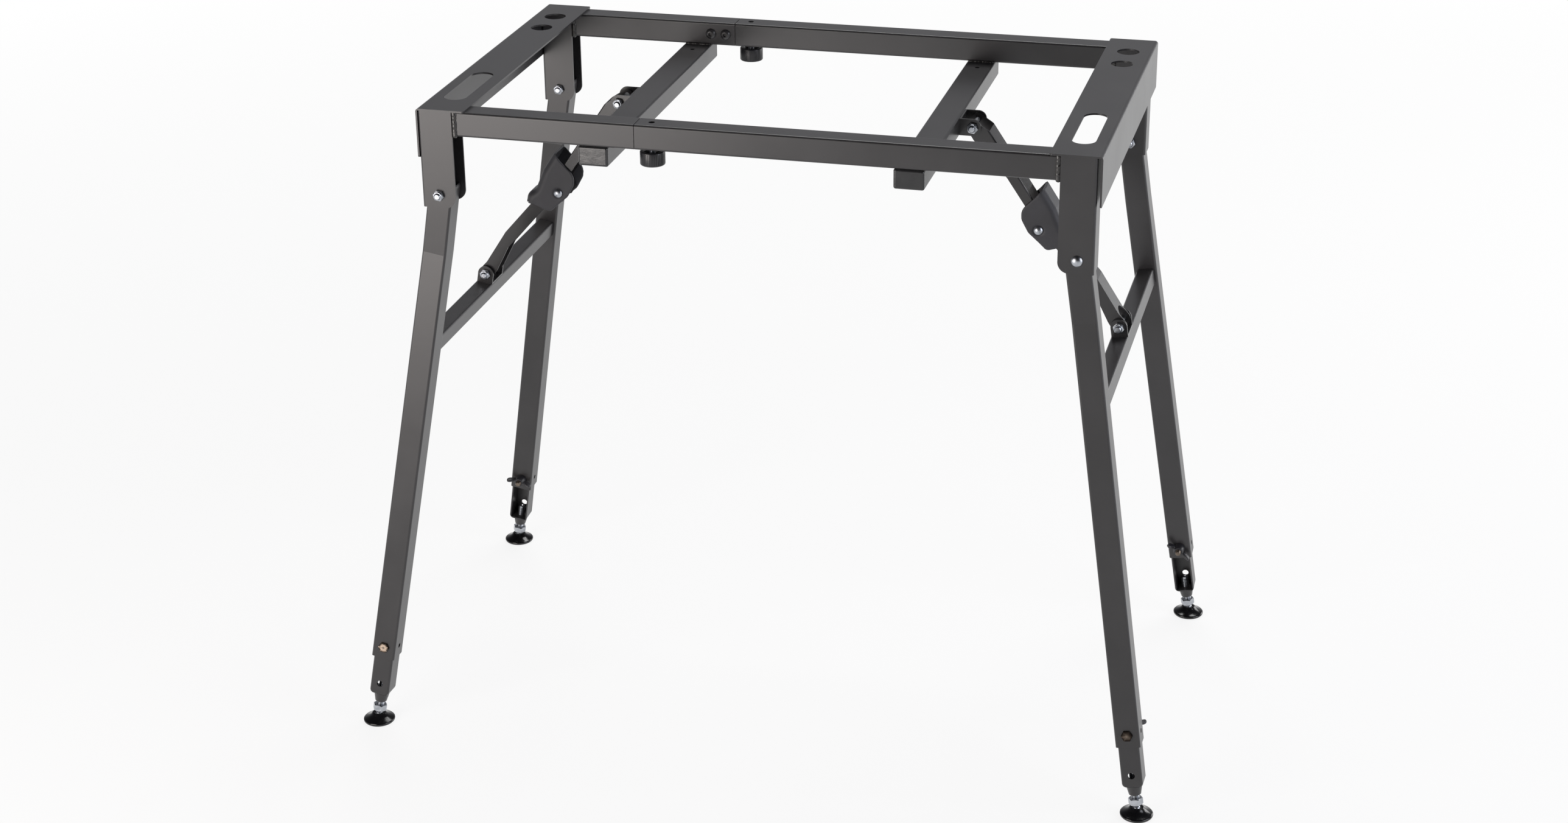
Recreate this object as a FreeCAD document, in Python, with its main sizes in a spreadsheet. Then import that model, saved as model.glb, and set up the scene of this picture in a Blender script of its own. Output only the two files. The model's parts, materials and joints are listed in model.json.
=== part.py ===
import FreeCAD, Part
import math
import os

import Sketcher

# A folding keyboard stand, in millimetres. Two steel end plates carry the keyboard. Each sits on
# two sheet brackets, which hold the ends of the top tubes and the pivots of a leg frame. The right
# half slides along two inner tubes to widen the stand. Each leg frame is held open by a two-link
# brace with a release grip at its knee, and each leg has an inner leg that slides out.
#
# While it is built, x runs from the left end plate's outer face, y from the front face of the
# front tube and z from the top of the tubes. The last step moves all of it so that the origin is
# at the middle of the base.

SIZES = {
    # Top frame
    "stand_width": 675.0,
    "frame_depth": 392.0,
    "tube_size": 25.0,
    "tube_wall": 1.5,
    "tube_corner": 2.2,
    "seam_place": 222.0,
    "seam_gap": 0.6,
    "slide_clearance": 0.3,
    "inner_tube_grip": 35.0,
    "inner_tube_reach": 360.0,
    "fit_gap": 0.2,
    # End plates
    "plate_width": 50.0,
    "plate_drop": 50.0,
    "plate_sheet": 1.8,
    "plate_fold": 3.2,
    "plate_inner_fold": 0.3,
    "plate_corner": 2.0,
    "slot_width": 23.0,
    "slot_start": 33.0,
    "slot_end": 130.0,
    "first_hole_from_rear": 90.0,
    "second_hole_from_rear": 45.0,
    "plate_hole": 23.0,
    # Leg brackets
    "bracket_width": 34.8,
    "bracket_sheet": 1.8,
    "bracket_left_gap": 0.3,
    "bracket_right_gap": 2.9,
    "bracket_left_height": 99.0,
    "bracket_right_height": 115.0,
    "bracket_inner_corner": 11.0,
    "bracket_outer_corner": 2.6,
    "pivot_above_edge": 13.1,
    "pivot_left_inset": 17.4,
    "pivot_right_inset": 16.5,
    # Fasteners
    "screw_diameter": 6.0,
    "running_clearance": 0.08,
    "nut_flats": 10.0,
    "nut_height": 5.0,
    "screw_tip": 1.6,
    "dome_diameter": 11.4,
    "dome_height": 3.4,
    "dome_radius": 6.6,
    "tube_screw_first": 10.4,
    "tube_screw_pitch": 16.4,
    "tube_screw_length": 5.0,
    # Crossbars under the tubes
    "crossbar_width": 30.0,
    "crossbar_height": 20.0,
    "crossbar_left_place": 165.2,
    "crossbar_right_place": 168.0,
    "crossbar_vent": 5.0,
    "crossbar_vent_from_rear": 46.0,
    "cap_plate": 3.0,
    "cap_round": 2.4,
    "cap_plug": 9.0,
    # Leg frames
    "splay_left": 9.3,
    "splay_right": 8.4,
    "leg_flare": 4.33,
    "leg_above_pivot": 9.5,
    "leg_bend_drop": 64.5,
    "leg_end_drop": 600.0,
    "leg_screw_above_end": 13.0,
    "leg_side_hole": 5.0,
    "hex_hole_clearance": 0.5,
    "leg_bar_size": 18.0,
    "leg_bar_below_pin": 10.5,
    "leg_top_round": 6.0,
    # Braces
    "brace_place": 188.0,
    "brace_pin_reach": 13.5,
    "brace_pin_drop": 35.0,
    "brace_foot_drop": 235.0,
    "brace_foot_left_inset": 0.8,
    "brace_foot_right_inset": -0.9,
    "knee_offset": 8.0,
    "link_sheet": 1.5,
    "upper_link_width": 28.4,
    "upper_web_out": 11.8,
    "upper_eye_end": 6.6,
    "upper_eye_inner": 6.8,
    "upper_waist_inner": 1.3,
    "upper_knee_inner": 9.0,
    "upper_knee_ramp": 14.0,
    "web_setback": 12.0,
    "upper_web_past_knee": 10.2,
    "upper_stop_end": 2.0,
    "upper_window_end": 38.5,
    "lower_web_out": 14.0,
    "lower_web_knee_out": 9.5,
    "lower_web_start": 10.4,
    "lower_notch": 15.0,
    "lower_eye_end": 8.0,
    "lower_eye_inner": 6.5,
    "lower_web_start_out": 7.8,
    "lower_bend_along": 51.8,
    "lower_waist_inner": 1.0,
    "lower_knee_ramp": 16.0,
    "lower_knee_radius": 7.0,
    "clevis_sheet": 1.8,
    "upper_clevis_radius": 8.6,
    "lower_clevis_radius": 8.5,
    "lower_clevis_gap": 1.9,
    # Release grip
    "grip_width": 34.0,
    "grip_cheek": 2.5,
    "grip_skin": 2.4,
    "grip_crown": 8.0,
    "grip_top": 27.6,
    "grip_up": 34.5,
    "grip_down": 32.5,
    "grip_inner": 10.5,
    "grip_blend": 9.0,
    "rivet_diameter": 5.0,
    "rivet_dome_diameter": 9.5,
    "rivet_dome_height": 2.6,
    "rivet_dome_radius": 5.6,
    # Inner legs
    "inner_leg_size": 21.2,
    "inner_leg_sheet": 1.6,
    "inner_leg_fold": 2.4,
    "inner_leg_tail": 58.4,
    "inner_leg_top": 12.0,
    "inner_leg_pitch": 45.0,
    "inner_leg_hole": 7.0,
    "inner_leg_corner": 4.5,
    "weld_nut_height": 10.5,
    "weld_nut_top": 17.0,
    "weld_nut_bottom": 12.5,
    # Height screws and wing nuts
    "leg_screw_head": 4.0,
    "leg_screw_tip": 13.0,
    "wing_nut_hub": 13.0,
    "wing_nut_nose": 9.6,
    "wing_nut_height": 9.5,
    "wing_span": 30.0,
    "wing_thickness": 3.2,
    "wing_root": 6.0,
    "wing_lift": 2.5,
    "wing_rise": 12.0,
    "wing_round": 2.6,
    # Levelling feet
    "floor_drop": 680.0,
    "ball_above_floor": 7.6,
    "ball_diameter": 9.0,
    "socket_clearance": 0.1,
    "stud_diameter": 8.0,
    "stud_neck": 4.8,
    "stud_length": 42.0,
    "lock_nut_flats": 13.0,
    "lock_nut_height": 7.0,
    "lock_nut_above_ball": 6.0,
    "foot_diameter": 33.6,
    "foot_base_diameter": 29.0,
    "foot_rim_low": 2.4,
    "foot_rim_high": 4.2,
    "foot_height": 10.6,
    "foot_top_diameter": 13.4,
    "foot_mouth": 8.4,
    # Clamp knobs
    "knob_offset": 15.0,
    "knob_diameter": 24.6,
    "knob_height": 14.0,
    "knob_gap": 3.0,
    "knob_round": 1.8,
    "knob_flute": 1.5,
    "knob_screw_depth": 10.0,
    # How far every cut runs past the stock
    "overrun": 3.0,
}

COUNTS = {
    "height_holes": 8,
    "knob_flutes": 18,
}

# Where the knee lies along the line between the brace's two outer pins
KNEE_SHARE = 0.489
# Where the upper link's inner edge stops narrowing, along its length
UPPER_WAIST_SHARE = 0.5
# The release grip's side outline: along the upper link from the knee pin, as a share of the
# grip's reach up or down, and out from the link's pin line, as a share of the grip's height
GRIP_UP_SHARES = [(1.0, 1.0), (0.29, 0.985), (-0.17, 0.87)]
GRIP_DOWN_SHARES = [(0.41, 0.815), (0.7, 0.985), (1.0, 0.83), (0.85, 0.55), (0.77, 0.15)]
GRIP_INNER_SHARES = [(-0.65, 0.4), (-0.34, 0.63), (0.09, 1.0), (0.53, 0.86), (0.72, 0.48)]
GRIP_MOUTH_SHARES = [(0.81, 0.0), (0.89, 0.55)]
FULL_TURN = 360.0
HEX_SHARE = 0.5 / math.cos(math.pi / 6)

doc = FreeCAD.newDocument("KeyboardStand")
sheet = doc.addObject("Spreadsheet::Sheet", "Sizes")


class Measure:
    """A size that knows its number and the sheet expression behind it."""

    def __init__(self, value, text):
        self.value = value
        self.text = text

    def __add__(self, other):
        other = measure(other)
        return Measure(self.value + other.value, f"({self.text} + {other.text})")

    def __sub__(self, other):
        other = measure(other)
        return Measure(self.value - other.value, f"({self.text} - {other.text})")

    def __mul__(self, other):
        other = measure(other)
        return Measure(self.value * other.value, f"({self.text} * {other.text})")

    def __truediv__(self, other):
        other = measure(other)
        return Measure(self.value / other.value, f"({self.text} / {other.text})")

    def __neg__(self):
        return Measure(-self.value, f"(0 - {self.text})")

    __radd__ = __add__
    __rmul__ = __mul__


def measure(number):
    if isinstance(number, Measure):
        return number
    return Measure(float(number), f"({float(number)})")


def cosine(angle):
    return Measure(math.cos(math.radians(angle.value)), f"cos({angle.text} * 1 deg)")


def tangent(angle):
    return Measure(math.tan(math.radians(angle.value)), f"tan({angle.text} * 1 deg)")


def sine(angle):
    return Measure(math.sin(math.radians(angle.value)), f"sin({angle.text} * 1 deg)")


class Sizes:
    """The sheet's cells, read by name."""


size = Sizes()
for row, (name, number) in enumerate({**SIZES, **COUNTS}.items(), start=1):
    sheet.set(f"A{row}", name)
    sheet.set(f"B{row}", str(number))
    sheet.setAlias(f"B{row}", name)
    setattr(size, name, Measure(float(number), f"Sizes.{name}"))
doc.recompute()

ZERO = measure(0)
UP = FreeCAD.Vector(0, 0, 1)
RIGHT = FreeCAD.Vector(1, 0, 0)
BACK = FreeCAD.Vector(0, 1, 0)
placements = []
nodes = {}


# Sketches and features

def new_body(label):
    body = doc.addObject("PartDesign::Body", label)
    body.Label = label
    return body


def sketch_on(body, role, lift=None):
    """An empty sketch on one of the body's own planes, lifted along that plane's normal."""
    sketch = body.newObject("Sketcher::SketchObject", "Sketch")
    base = [plane for plane in body.Origin.OriginFeatures if plane.Role == role][0]
    sketch.AttachmentSupport = [(base, "")]
    sketch.MapMode = "FlatFace"
    if lift is not None:
        sketch.AttachmentOffset = FreeCAD.Placement(
            FreeCAD.Vector(0, 0, lift.value), FreeCAD.Rotation()
        )
        sketch.setExpression("AttachmentOffset.Base.z", lift.text)
    return sketch


def fix(sketch, kind, items, target):
    """One dimension of a sketch, bound to the sheet."""
    index = sketch.addConstraint(Sketcher.Constraint(kind, *items, target.value))
    sketch.setExpression(f"Constraints[{index}]", target.text)


def add_outline(sketch, points):
    """A closed run of straight lines with every corner bound to the sheet."""
    points = [(measure(x), measure(y)) for x, y in points]
    corners = [FreeCAD.Vector(x.value, y.value, 0) for x, y in points]
    first = sketch.GeometryCount
    count = len(corners)
    for index in range(count):
        line = Part.LineSegment(corners[index], corners[(index + 1) % count])
        sketch.addGeometry(line, False)
    for index in range(count):
        after = first + (index + 1) % count
        sketch.addConstraint(Sketcher.Constraint("Coincident", first + index, 2, after, 1))
    for index, (x, y) in enumerate(points):
        fix(sketch, "DistanceX", (-1, 1, first + index, 1), x)
        fix(sketch, "DistanceY", (-1, 1, first + index, 1), y)


def add_box(sketch, left, right, low, high):
    add_outline(sketch, [(left, low), (right, low), (right, high), (left, high)])


def add_circle(sketch, x, y, diameter):
    x, y = measure(x), measure(y)
    radius = diameter / 2
    centre = FreeCAD.Vector(x.value, y.value, 0)
    circle = Part.Circle(centre, FreeCAD.Vector(0, 0, 1), radius.value)
    index = sketch.addGeometry(circle, False)
    fix(sketch, "DistanceX", (-1, 1, index, 3), x)
    fix(sketch, "DistanceY", (-1, 1, index, 3), y)
    fix(sketch, "Radius", (index,), radius)


def add_slot(sketch, x, low, high, width):
    """A slot with round ends that runs along the sketch's second axis."""
    radius = width / 2
    normal = FreeCAD.Vector(0, 0, 1)
    top = FreeCAD.Vector(x.value, high.value - radius.value, 0)
    bottom = FreeCAD.Vector(x.value, low.value + radius.value, 0)
    side = FreeCAD.Vector(radius.value, 0, 0)
    upper = sketch.addGeometry(
        Part.ArcOfCircle(Part.Circle(top, normal, radius.value), 0, math.pi), False
    )
    lower = sketch.addGeometry(
        Part.ArcOfCircle(Part.Circle(bottom, normal, radius.value), math.pi, 2 * math.pi), False
    )
    left = sketch.addGeometry(Part.LineSegment(top - side, bottom - side), False)
    right = sketch.addGeometry(Part.LineSegment(bottom + side, top + side), False)
    for one, end, other, start in (
        (upper, 2, left, 1),
        (left, 2, lower, 1),
        (lower, 2, right, 1),
        (right, 2, upper, 1),
    ):
        sketch.addConstraint(Sketcher.Constraint("Tangent", one, end, other, start))
    fix(sketch, "DistanceX", (-1, 1, upper, 3), x)
    fix(sketch, "DistanceY", (-1, 1, upper, 3), high - radius)
    fix(sketch, "DistanceY", (-1, 1, lower, 3), low + radius)
    fix(sketch, "Radius", (upper,), radius)


def add_hexagon(sketch, x, y, flats):
    """A hexagon with two corners level with its middle."""
    reach = flats * HEX_SHARE
    corners = []
    for step in range(6):
        turn = math.pi / 3 * step
        corners.append((x + reach * math.cos(turn), y + reach * math.sin(turn)))
    add_outline(sketch, corners)


def pad(body, sketch, length, middle=True):
    feature = body.newObject("PartDesign::Pad", "Pad")
    feature.Profile = sketch
    feature.Midplane = middle
    feature.Length = length.value
    feature.setExpression("Length", length.text)
    sketch.Visibility = False
    doc.recompute()
    return feature


def pocket(body, sketch, length):
    """A cut to both sides of its sketch; it has to take something away."""
    before = body.Shape.Volume
    feature = body.newObject("PartDesign::Pocket", "Pocket")
    feature.Profile = sketch
    feature.Midplane = True
    feature.Length = length.value
    feature.setExpression("Length", length.text)
    doc.recompute()
    if not body.Shape.Volume < before:
        raise ValueError(f"a cut in {body.Label} takes nothing away")
    return feature


def turned(body, points):
    """A solid of revolution about the body's z axis, from its half outline."""
    sketch = sketch_on(body, "XZ_Plane")
    add_outline(sketch, points)
    feature = body.newObject("PartDesign::Revolution", "Revolution")
    feature.Profile = sketch
    feature.ReferenceAxis = (sketch, ["V_Axis"])
    feature.Angle = FULL_TURN
    doc.recompute()
    return feature


def edges_along(feature, axis, places):
    """Names of the straight edges along an axis at the places given across it."""
    across = [letter for letter in "xyz" if letter != axis]
    found = []
    for index, edge in enumerate(feature.Shape.Edges, start=1):
        if len(edge.Vertexes) != 2:
            continue
        start, end = (vertex.Point for vertex in edge.Vertexes)
        moved = [abs(getattr(start - end, letter)) for letter in across]
        if max(moved) > Part.Precision.confusion() * 10:
            continue
        for place in places:
            miss = [
                abs(getattr(start, letter) - target.value)
                for letter, target in zip(across, place)
            ]
            if max(miss) < Part.Precision.confusion() * 1000:
                found.append(f"Edge{index}")
    if len(found) < len(places):
        raise ValueError(f"{len(found)} edges found for {len(places)} places")
    return found


def fillet(body, edges, radius):
    base = body.Tip
    feature = body.newObject("PartDesign::Fillet", "Fillet")
    feature.Base = (base, edges)
    feature.Radius = radius.value
    feature.setExpression("Radius", radius.text)
    doc.recompute()
    return feature


# Primitives

def cylinder(diameter, height):
    solid = doc.addObject("Part::Cylinder", "Cylinder")
    solid.setExpression("Radius", (diameter / 2).text)
    solid.setExpression("Height", height.text)
    return solid


def cone(low_diameter, high_diameter, height):
    solid = doc.addObject("Part::Cone", "Cone")
    solid.setExpression("Radius1", (low_diameter / 2).text)
    solid.setExpression("Radius2", (high_diameter / 2).text)
    solid.setExpression("Height", height.text)
    return solid


def ball(diameter):
    solid = doc.addObject("Part::Sphere", "Sphere")
    solid.setExpression("Radius", (diameter / 2).text)
    return solid


def hexagon(flats, height):
    solid = doc.addObject("Part::Prism", "Prism")
    solid.Polygon = 6
    solid.setExpression("Circumradius", (flats * HEX_SHARE).text)
    solid.setExpression("Height", height.text)
    return solid


def raised(solid, height):
    """Moves a primitive up its own axis before it is joined to others."""
    solid.setExpression("Placement.Base.z", height.text)
    return solid


def fused(*solids):
    joined = doc.addObject("Part::MultiFuse", "Fusion")
    joined.Shapes = list(solids)
    return joined


def cut(base, tool):
    result = doc.addObject("Part::Cut", "Cut")
    result.Base = base
    result.Tool = tool
    return result


def shared(one, other):
    result = doc.addObject("Part::Common", "Common")
    result.Base = one
    result.Tool = other
    return result


def dome(diameter, height, radius):
    """A domed head that stands on z = 0."""
    drum = cylinder(diameter, height)
    round_top = raised(ball(radius * 2), height - radius)
    return shared(drum, round_top)


# Places

def place(thing, origin, x_dir=RIGHT, z_dir=UP):
    """Notes where a piece goes; the whole stand is moved to its origin at the end."""
    y_dir = z_dir.cross(x_dir)
    turn = FreeCAD.Rotation(x_dir, y_dir, z_dir, "ZXY")
    where = FreeCAD.Placement(FreeCAD.Vector(*[measure(part).value for part in origin]), turn)
    placements.append((thing, where))
    return thing


def node(label, thing):
    thing.Label = label
    nodes[label] = thing
    return thing


def group(label, things):
    """Separate solids that share one node."""
    compound = doc.addObject("Part::Compound", label)
    compound.Links = things
    nodes[label] = compound
    compound.Label = label
    return compound


half_tube = size.tube_size / 2
row_place = {"front": half_tube, "rear": size.frame_depth - half_tube}
row_out = {"front": -BACK, "rear": BACK}
middle_place = size.frame_depth / 2


class Side:
    """What differs between the left and the right half of the stand."""

    def __init__(self, name):
        self.name = name
        left = name == "left"
        self.inward = RIGHT if left else -RIGHT
        self.gap = size.bracket_left_gap if left else size.bracket_right_gap
        self.height = size.bracket_left_height if left else size.bracket_right_height
        self.pivot_inset = size.pivot_left_inset if left else size.pivot_right_inset
        self.splay = size.splay_left if left else size.splay_right
        self.crossbar = size.crossbar_left_place if left else size.crossbar_right_place
        self.foot_inset = size.brace_foot_left_inset if left else size.brace_foot_right_inset
        self.web_place = size.plate_sheet + self.gap
        self.pivot_x = self.web_place + self.pivot_inset
        self.pivot_drop = self.height - size.pivot_above_edge

    def x(self, inset):
        """A place across the stand, from the distance to this side's end."""
        if self.name == "left":
            return measure(inset)
        return size.stand_width - inset

    def leg_up(self):
        """The direction from the feet to the pivot, along the leg frame."""
        turn = math.radians(self.splay.value)
        return self.inward * math.sin(turn) + UP * math.cos(turn)

    def leg_in(self):
        """Square to the leg frame, towards the middle of the stand."""
        turn = math.radians(self.splay.value)
        return self.inward * math.cos(turn) - UP * math.sin(turn)

    def pivot(self, y):
        return FreeCAD.Vector(
            self.x(self.pivot_x).value, measure(y).value, -self.pivot_drop.value
        )

    def lower_leg(self, row):
        """Origin and directions of the flared part of a leg, at the bend on its centre line."""
        out = row_out[row]
        bend = self.pivot(row_place[row]) - self.leg_up() * size.leg_bend_drop.value
        turn = math.radians(size.leg_flare.value)
        up = self.leg_up() * math.cos(turn) - out * math.sin(turn)
        across = (out * math.cos(turn) + self.leg_up() * math.sin(turn)).cross(up)
        return bend, across, up

    def flared_length(self, drop):
        """Length along the flared leg from the bend down to a height below the tubes."""
        straight = size.leg_bend_drop * cosine(self.splay)
        below = drop - self.pivot_drop - straight
        return below / cosine(self.splay) / cosine(size.leg_flare)


left = Side("left")
right = Side("right")
sides = (left, right)
rows = ("front", "rear")


# End plates: an angle of bent sheet with a slot and two holes

def make_end_plate(side):
    hand = 1 if side is left else -1
    sheet_t = size.plate_sheet
    length = size.frame_depth + (size.bracket_sheet + size.fit_gap) * 2
    bottom = sheet_t - size.plate_drop
    body = new_body(f"{side.name}_end_plate")
    profile = sketch_on(body, "XZ_Plane")
    add_outline(
        profile,
        [
            (ZERO, bottom),
            (sheet_t * hand, bottom),
            (sheet_t * hand, ZERO),
            (size.plate_width * hand, ZERO),
            (size.plate_width * hand, sheet_t),
            (ZERO, sheet_t),
        ],
    )
    blank = pad(body, profile, length)
    fillet(body, edges_along(blank, "y", [(ZERO, sheet_t)]), size.plate_fold)
    inside = edges_along(body.Tip, "y", [(sheet_t * hand, ZERO)])
    fillet(body, inside, size.plate_inner_fold)
    ends = [(size.plate_width * hand, length / 2), (size.plate_width * hand, -length / 2)]
    fillet(body, edges_along(body.Tip, "z", ends), size.plate_corner)
    lower = [(length / 2, bottom), (-length / 2, bottom)]
    fillet(body, edges_along(body.Tip, "x", lower), size.plate_corner)
    openings = sketch_on(body, "XY_Plane")
    centre = size.plate_width / 2 * hand
    add_slot(
        openings,
        centre,
        size.slot_start - middle_place,
        size.slot_end - middle_place,
        size.slot_width,
    )
    for from_rear in (size.first_hole_from_rear, size.second_hole_from_rear):
        add_circle(openings, centre, middle_place - from_rear, size.plate_hole)
    pocket(body, openings, (sheet_t + size.overrun) * 2)
    place(body, (side.x(ZERO), middle_place, ZERO))
    node(body.Label, body)


for side in sides:
    make_end_plate(side)


# Leg brackets: channels of bent sheet, open towards the stand, with the leg's pivot holes

bracket_gap = size.tube_size + size.fit_gap * 2


def make_bracket(side, row):
    width = size.bracket_width
    sheet_t = size.bracket_sheet
    depth = bracket_gap + sheet_t * 2
    body = new_body(f"{side.name}_{row}_bracket")
    profile = sketch_on(body, "XZ_Plane")
    add_box(profile, ZERO, width, -side.height, ZERO)
    blank = pad(body, profile, depth)
    fillet(body, edges_along(blank, "y", [(width, -side.height)]), size.bracket_inner_corner)
    folds = [(ZERO, depth / 2), (ZERO, -depth / 2)]
    fillet(body, edges_along(body.Tip, "z", folds), size.bracket_outer_corner)
    hollow = sketch_on(body, "XZ_Plane")
    over = size.overrun
    add_box(hollow, sheet_t, width + over, -side.height - over, over)
    pocket(body, hollow, bracket_gap)
    holes = sketch_on(body, "XZ_Plane")
    add_circle(holes, side.pivot_inset, -side.pivot_drop, size.screw_diameter)
    pocket(body, holes, depth + over)
    place(body, (side.x(side.web_place), row_place[row], ZERO), side.inward)
    node(body.Label, body)


for side in sides:
    for row in rows:
        make_bracket(side, row)


# Top tubes: the right ones slide on inner tubes that are screwed into the left ones

def square_tube(label, outer, wall, corner, length):
    """A square tube that runs from its origin along x, centred on its axis."""
    body = new_body(label)
    profile = sketch_on(body, "YZ_Plane")
    add_box(profile, -outer / 2, outer / 2, -outer / 2, outer / 2)
    add_box(profile, wall - outer / 2, outer / 2 - wall, wall - outer / 2, outer / 2 - wall)
    blank = pad(body, profile, length, middle=False)
    corners = [(outer / 2 * a, outer / 2 * b) for a in (1, -1) for b in (1, -1)]
    fillet(body, edges_along(blank, "x", corners), corner)
    return body


inner_tube_size = size.tube_size - size.tube_wall * 2 - size.slide_clearance * 2
inner_tube_start = size.seam_place - size.inner_tube_grip
seam_end = size.seam_place + size.seam_gap
screw_places = [
    size.seam_place - size.tube_screw_first - size.tube_screw_pitch,
    size.seam_place - size.tube_screw_first,
]


def side_holes(body, start, face, wall):
    """Holes for the two screws, through the wall that faces the middle of the stand."""
    drilling = sketch_on(body, "XZ_Plane", -(face - wall / 2))
    for spot in screw_places:
        add_circle(drilling, spot - start, ZERO, size.screw_diameter)
    pocket(body, drilling, wall * 2)


def place_tube(body, start, row):
    """Turns a tube's drilled wall towards the middle of the stand."""
    origin = (start, row_place[row], -half_tube)
    if row == "front":
        place(body, origin, RIGHT, UP)
    else:
        place(body, origin, RIGHT, -UP)


for row in rows:
    start = left.web_place + size.bracket_sheet + size.slide_clearance
    length = size.seam_place - start
    body = square_tube(
        f"left_{row}_tube", size.tube_size, size.tube_wall, size.tube_corner, length
    )
    side_holes(body, start, half_tube, size.tube_wall)
    place_tube(body, start, row)
    node(body.Label, body)

    length = size.inner_tube_grip + size.inner_tube_reach
    corner = size.tube_corner - size.tube_wall / 2
    body = square_tube(f"{row}_inner_tube", inner_tube_size, size.tube_wall, corner, length)
    side_holes(body, inner_tube_start, inner_tube_size / 2, size.tube_wall)
    place_tube(body, inner_tube_start, row)
    node(body.Label, body)

    end = right.x(right.web_place + size.bracket_sheet + size.slide_clearance)
    body = square_tube(
        f"right_{row}_tube",
        size.tube_size,
        size.tube_wall,
        size.tube_corner,
        end - seam_end,
    )
    drilling = sketch_on(body, "XY_Plane")
    clear = size.screw_diameter + size.running_clearance * 2
    add_circle(drilling, size.seam_place + size.knob_offset - seam_end, ZERO, clear)
    pocket(body, drilling, size.tube_size + size.overrun)
    place(body, (seam_end, row_place[row], -half_tube))
    node(body.Label, body)

tube_screws = []
for row in rows:
    inner = -row_out[row]
    for spot in screw_places:
        head = dome(size.dome_diameter, size.dome_height, size.dome_radius)
        depth = size.tube_screw_length
        shank = raised(cylinder(size.screw_diameter, depth), -depth)
        screw = fused(head, shank)
        face = row_place[row].value + inner.y * half_tube.value
        place(screw, (spot, face, -half_tube), RIGHT, inner)
        tube_screws.append(screw)
group("inner_tube_screws", tube_screws)


# Crossbars under the tubes, with a plastic cap in each end

def make_crossbar(side):
    width, height = size.crossbar_width, size.crossbar_height
    wall = size.tube_wall
    length = size.frame_depth - size.cap_plate * 2
    body = new_body(f"{side.name}_crossbar")
    profile = sketch_on(body, "XZ_Plane")
    add_box(profile, -width / 2, width / 2, -height / 2, height / 2)
    add_box(profile, wall - width / 2, width / 2 - wall, wall - height / 2, height / 2 - wall)
    blank = pad(body, profile, length)
    corners = [(width / 2 * a, height / 2 * b) for a in (1, -1) for b in (1, -1)]
    fillet(body, edges_along(blank, "y", corners), size.tube_corner)
    vent = sketch_on(body, "XY_Plane", height / 2 - wall / 2)
    add_circle(vent, ZERO, middle_place - size.crossbar_vent_from_rear, size.crossbar_vent)
    pocket(body, vent, wall * 2)
    centre = side.x(side.crossbar + width / 2)
    place(body, (centre, middle_place, -size.tube_size - height / 2))
    node(body.Label, body)
    caps = []
    for row in rows:
        cap = new_body(f"{side.name}_{row}_cap")
        face = sketch_on(cap, "XY_Plane")
        add_box(face, -width / 2, width / 2, -height / 2, height / 2)
        plate = pad(cap, face, size.cap_plate, middle=False)
        corners = [(width / 2 * a, height / 2 * b) for a in (1, -1) for b in (1, -1)]
        fillet(cap, edges_along(plate, "z", corners), size.tube_corner)
        rim = []
        for index, edge in enumerate(cap.Tip.Shape.Edges, start=1):
            low = edge.BoundBox.ZMin
            if low > size.cap_plate.value - Part.Precision.confusion() * 10:
                rim.append(f"Edge{index}")
        fillet(cap, rim, size.cap_round)
        plug = sketch_on(cap, "XY_Plane")
        reach_x = width / 2 - wall - size.fit_gap
        reach_y = height / 2 - wall - size.fit_gap
        add_box(plug, -reach_x, reach_x, -reach_y, reach_y)
        stem = pad(cap, plug, size.cap_plug, middle=False)
        stem.Reversed = True
        doc.recompute()
        seat = middle_place.value + row_out[row].y * length.value / 2
        place(cap, (centre, seat, -size.tube_size - height / 2), RIGHT, row_out[row])
        caps.append(cap)
    group(f"{side.name}_crossbar_caps", caps)


for side in sides:
    make_crossbar(side)


# Screws with a domed head and a hexagon nut, which run along their own z axis. A brace is a
# closed loop of pins, so one pin of each brace is a pair of stubs and its link can leave it while
# the stand folds: the left brace at its upper clevis, the right brace at its knee.

def make_screw(grip, shank_gap=None):
    """The head's seat is at z = 0 and the nut's seat at z = -grip.

    With shank_gap, the middle of the shank is left out across that length.
    """
    head = dome(size.dome_diameter, size.dome_height, size.dome_radius)
    nut_seat = -grip
    end = nut_seat - size.nut_height - size.screw_tip
    nut = raised(hexagon(size.nut_flats, size.nut_height), nut_seat - size.nut_height)
    if shank_gap is None:
        shank = raised(cylinder(size.screw_diameter, -end), end)
        bore = raised(cylinder(size.screw_diameter, size.nut_height), nut_seat - size.nut_height)
        return [fused(head, shank), cut(nut, bore)]
    stub = (grip - shank_gap) / 2
    near = raised(cylinder(size.screw_diameter, stub), -stub)
    far = raised(cylinder(size.screw_diameter, -end - grip + stub), end)
    return [fused(head, near), fused(nut, far)]


def place_screw(parts, point, toward_head):
    across = RIGHT
    for part in parts:
        place(part, (point.x, point.y, point.z), across, toward_head)
    return parts


# Upper clevises on the crossbars, and the pins of the braces

class Brace:
    """The three pins of one brace, worked out from where its ends are fixed."""

    def __init__(self, side):
        y = size.brace_place.value
        self.side = side
        self.top = FreeCAD.Vector(
            side.x(side.crossbar - size.brace_pin_reach).value, y, -size.brace_pin_drop.value
        )
        along = (size.brace_foot_drop - side.pivot_drop) / cosine(side.splay)
        self.foot = side.pivot(y) - side.leg_up() * along.value
        self.foot = self.foot + side.leg_in() * side.foot_inset.value
        span = self.foot - self.top
        outer = FreeCAD.Vector(0, 1, 0).cross(span)
        if outer.z < 0:
            outer = -outer
        outer.normalize()
        self.knee = self.top + span * KNEE_SHARE - outer * size.knee_offset.value

    def link_frame(self, start, end):
        """Directions along a link and out from it."""
        along = end - start
        along.normalize()
        out = BACK.cross(along)
        if out.z < 0:
            out = -out
        return along, out


braces = {side.name: Brace(side) for side in sides}


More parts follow.
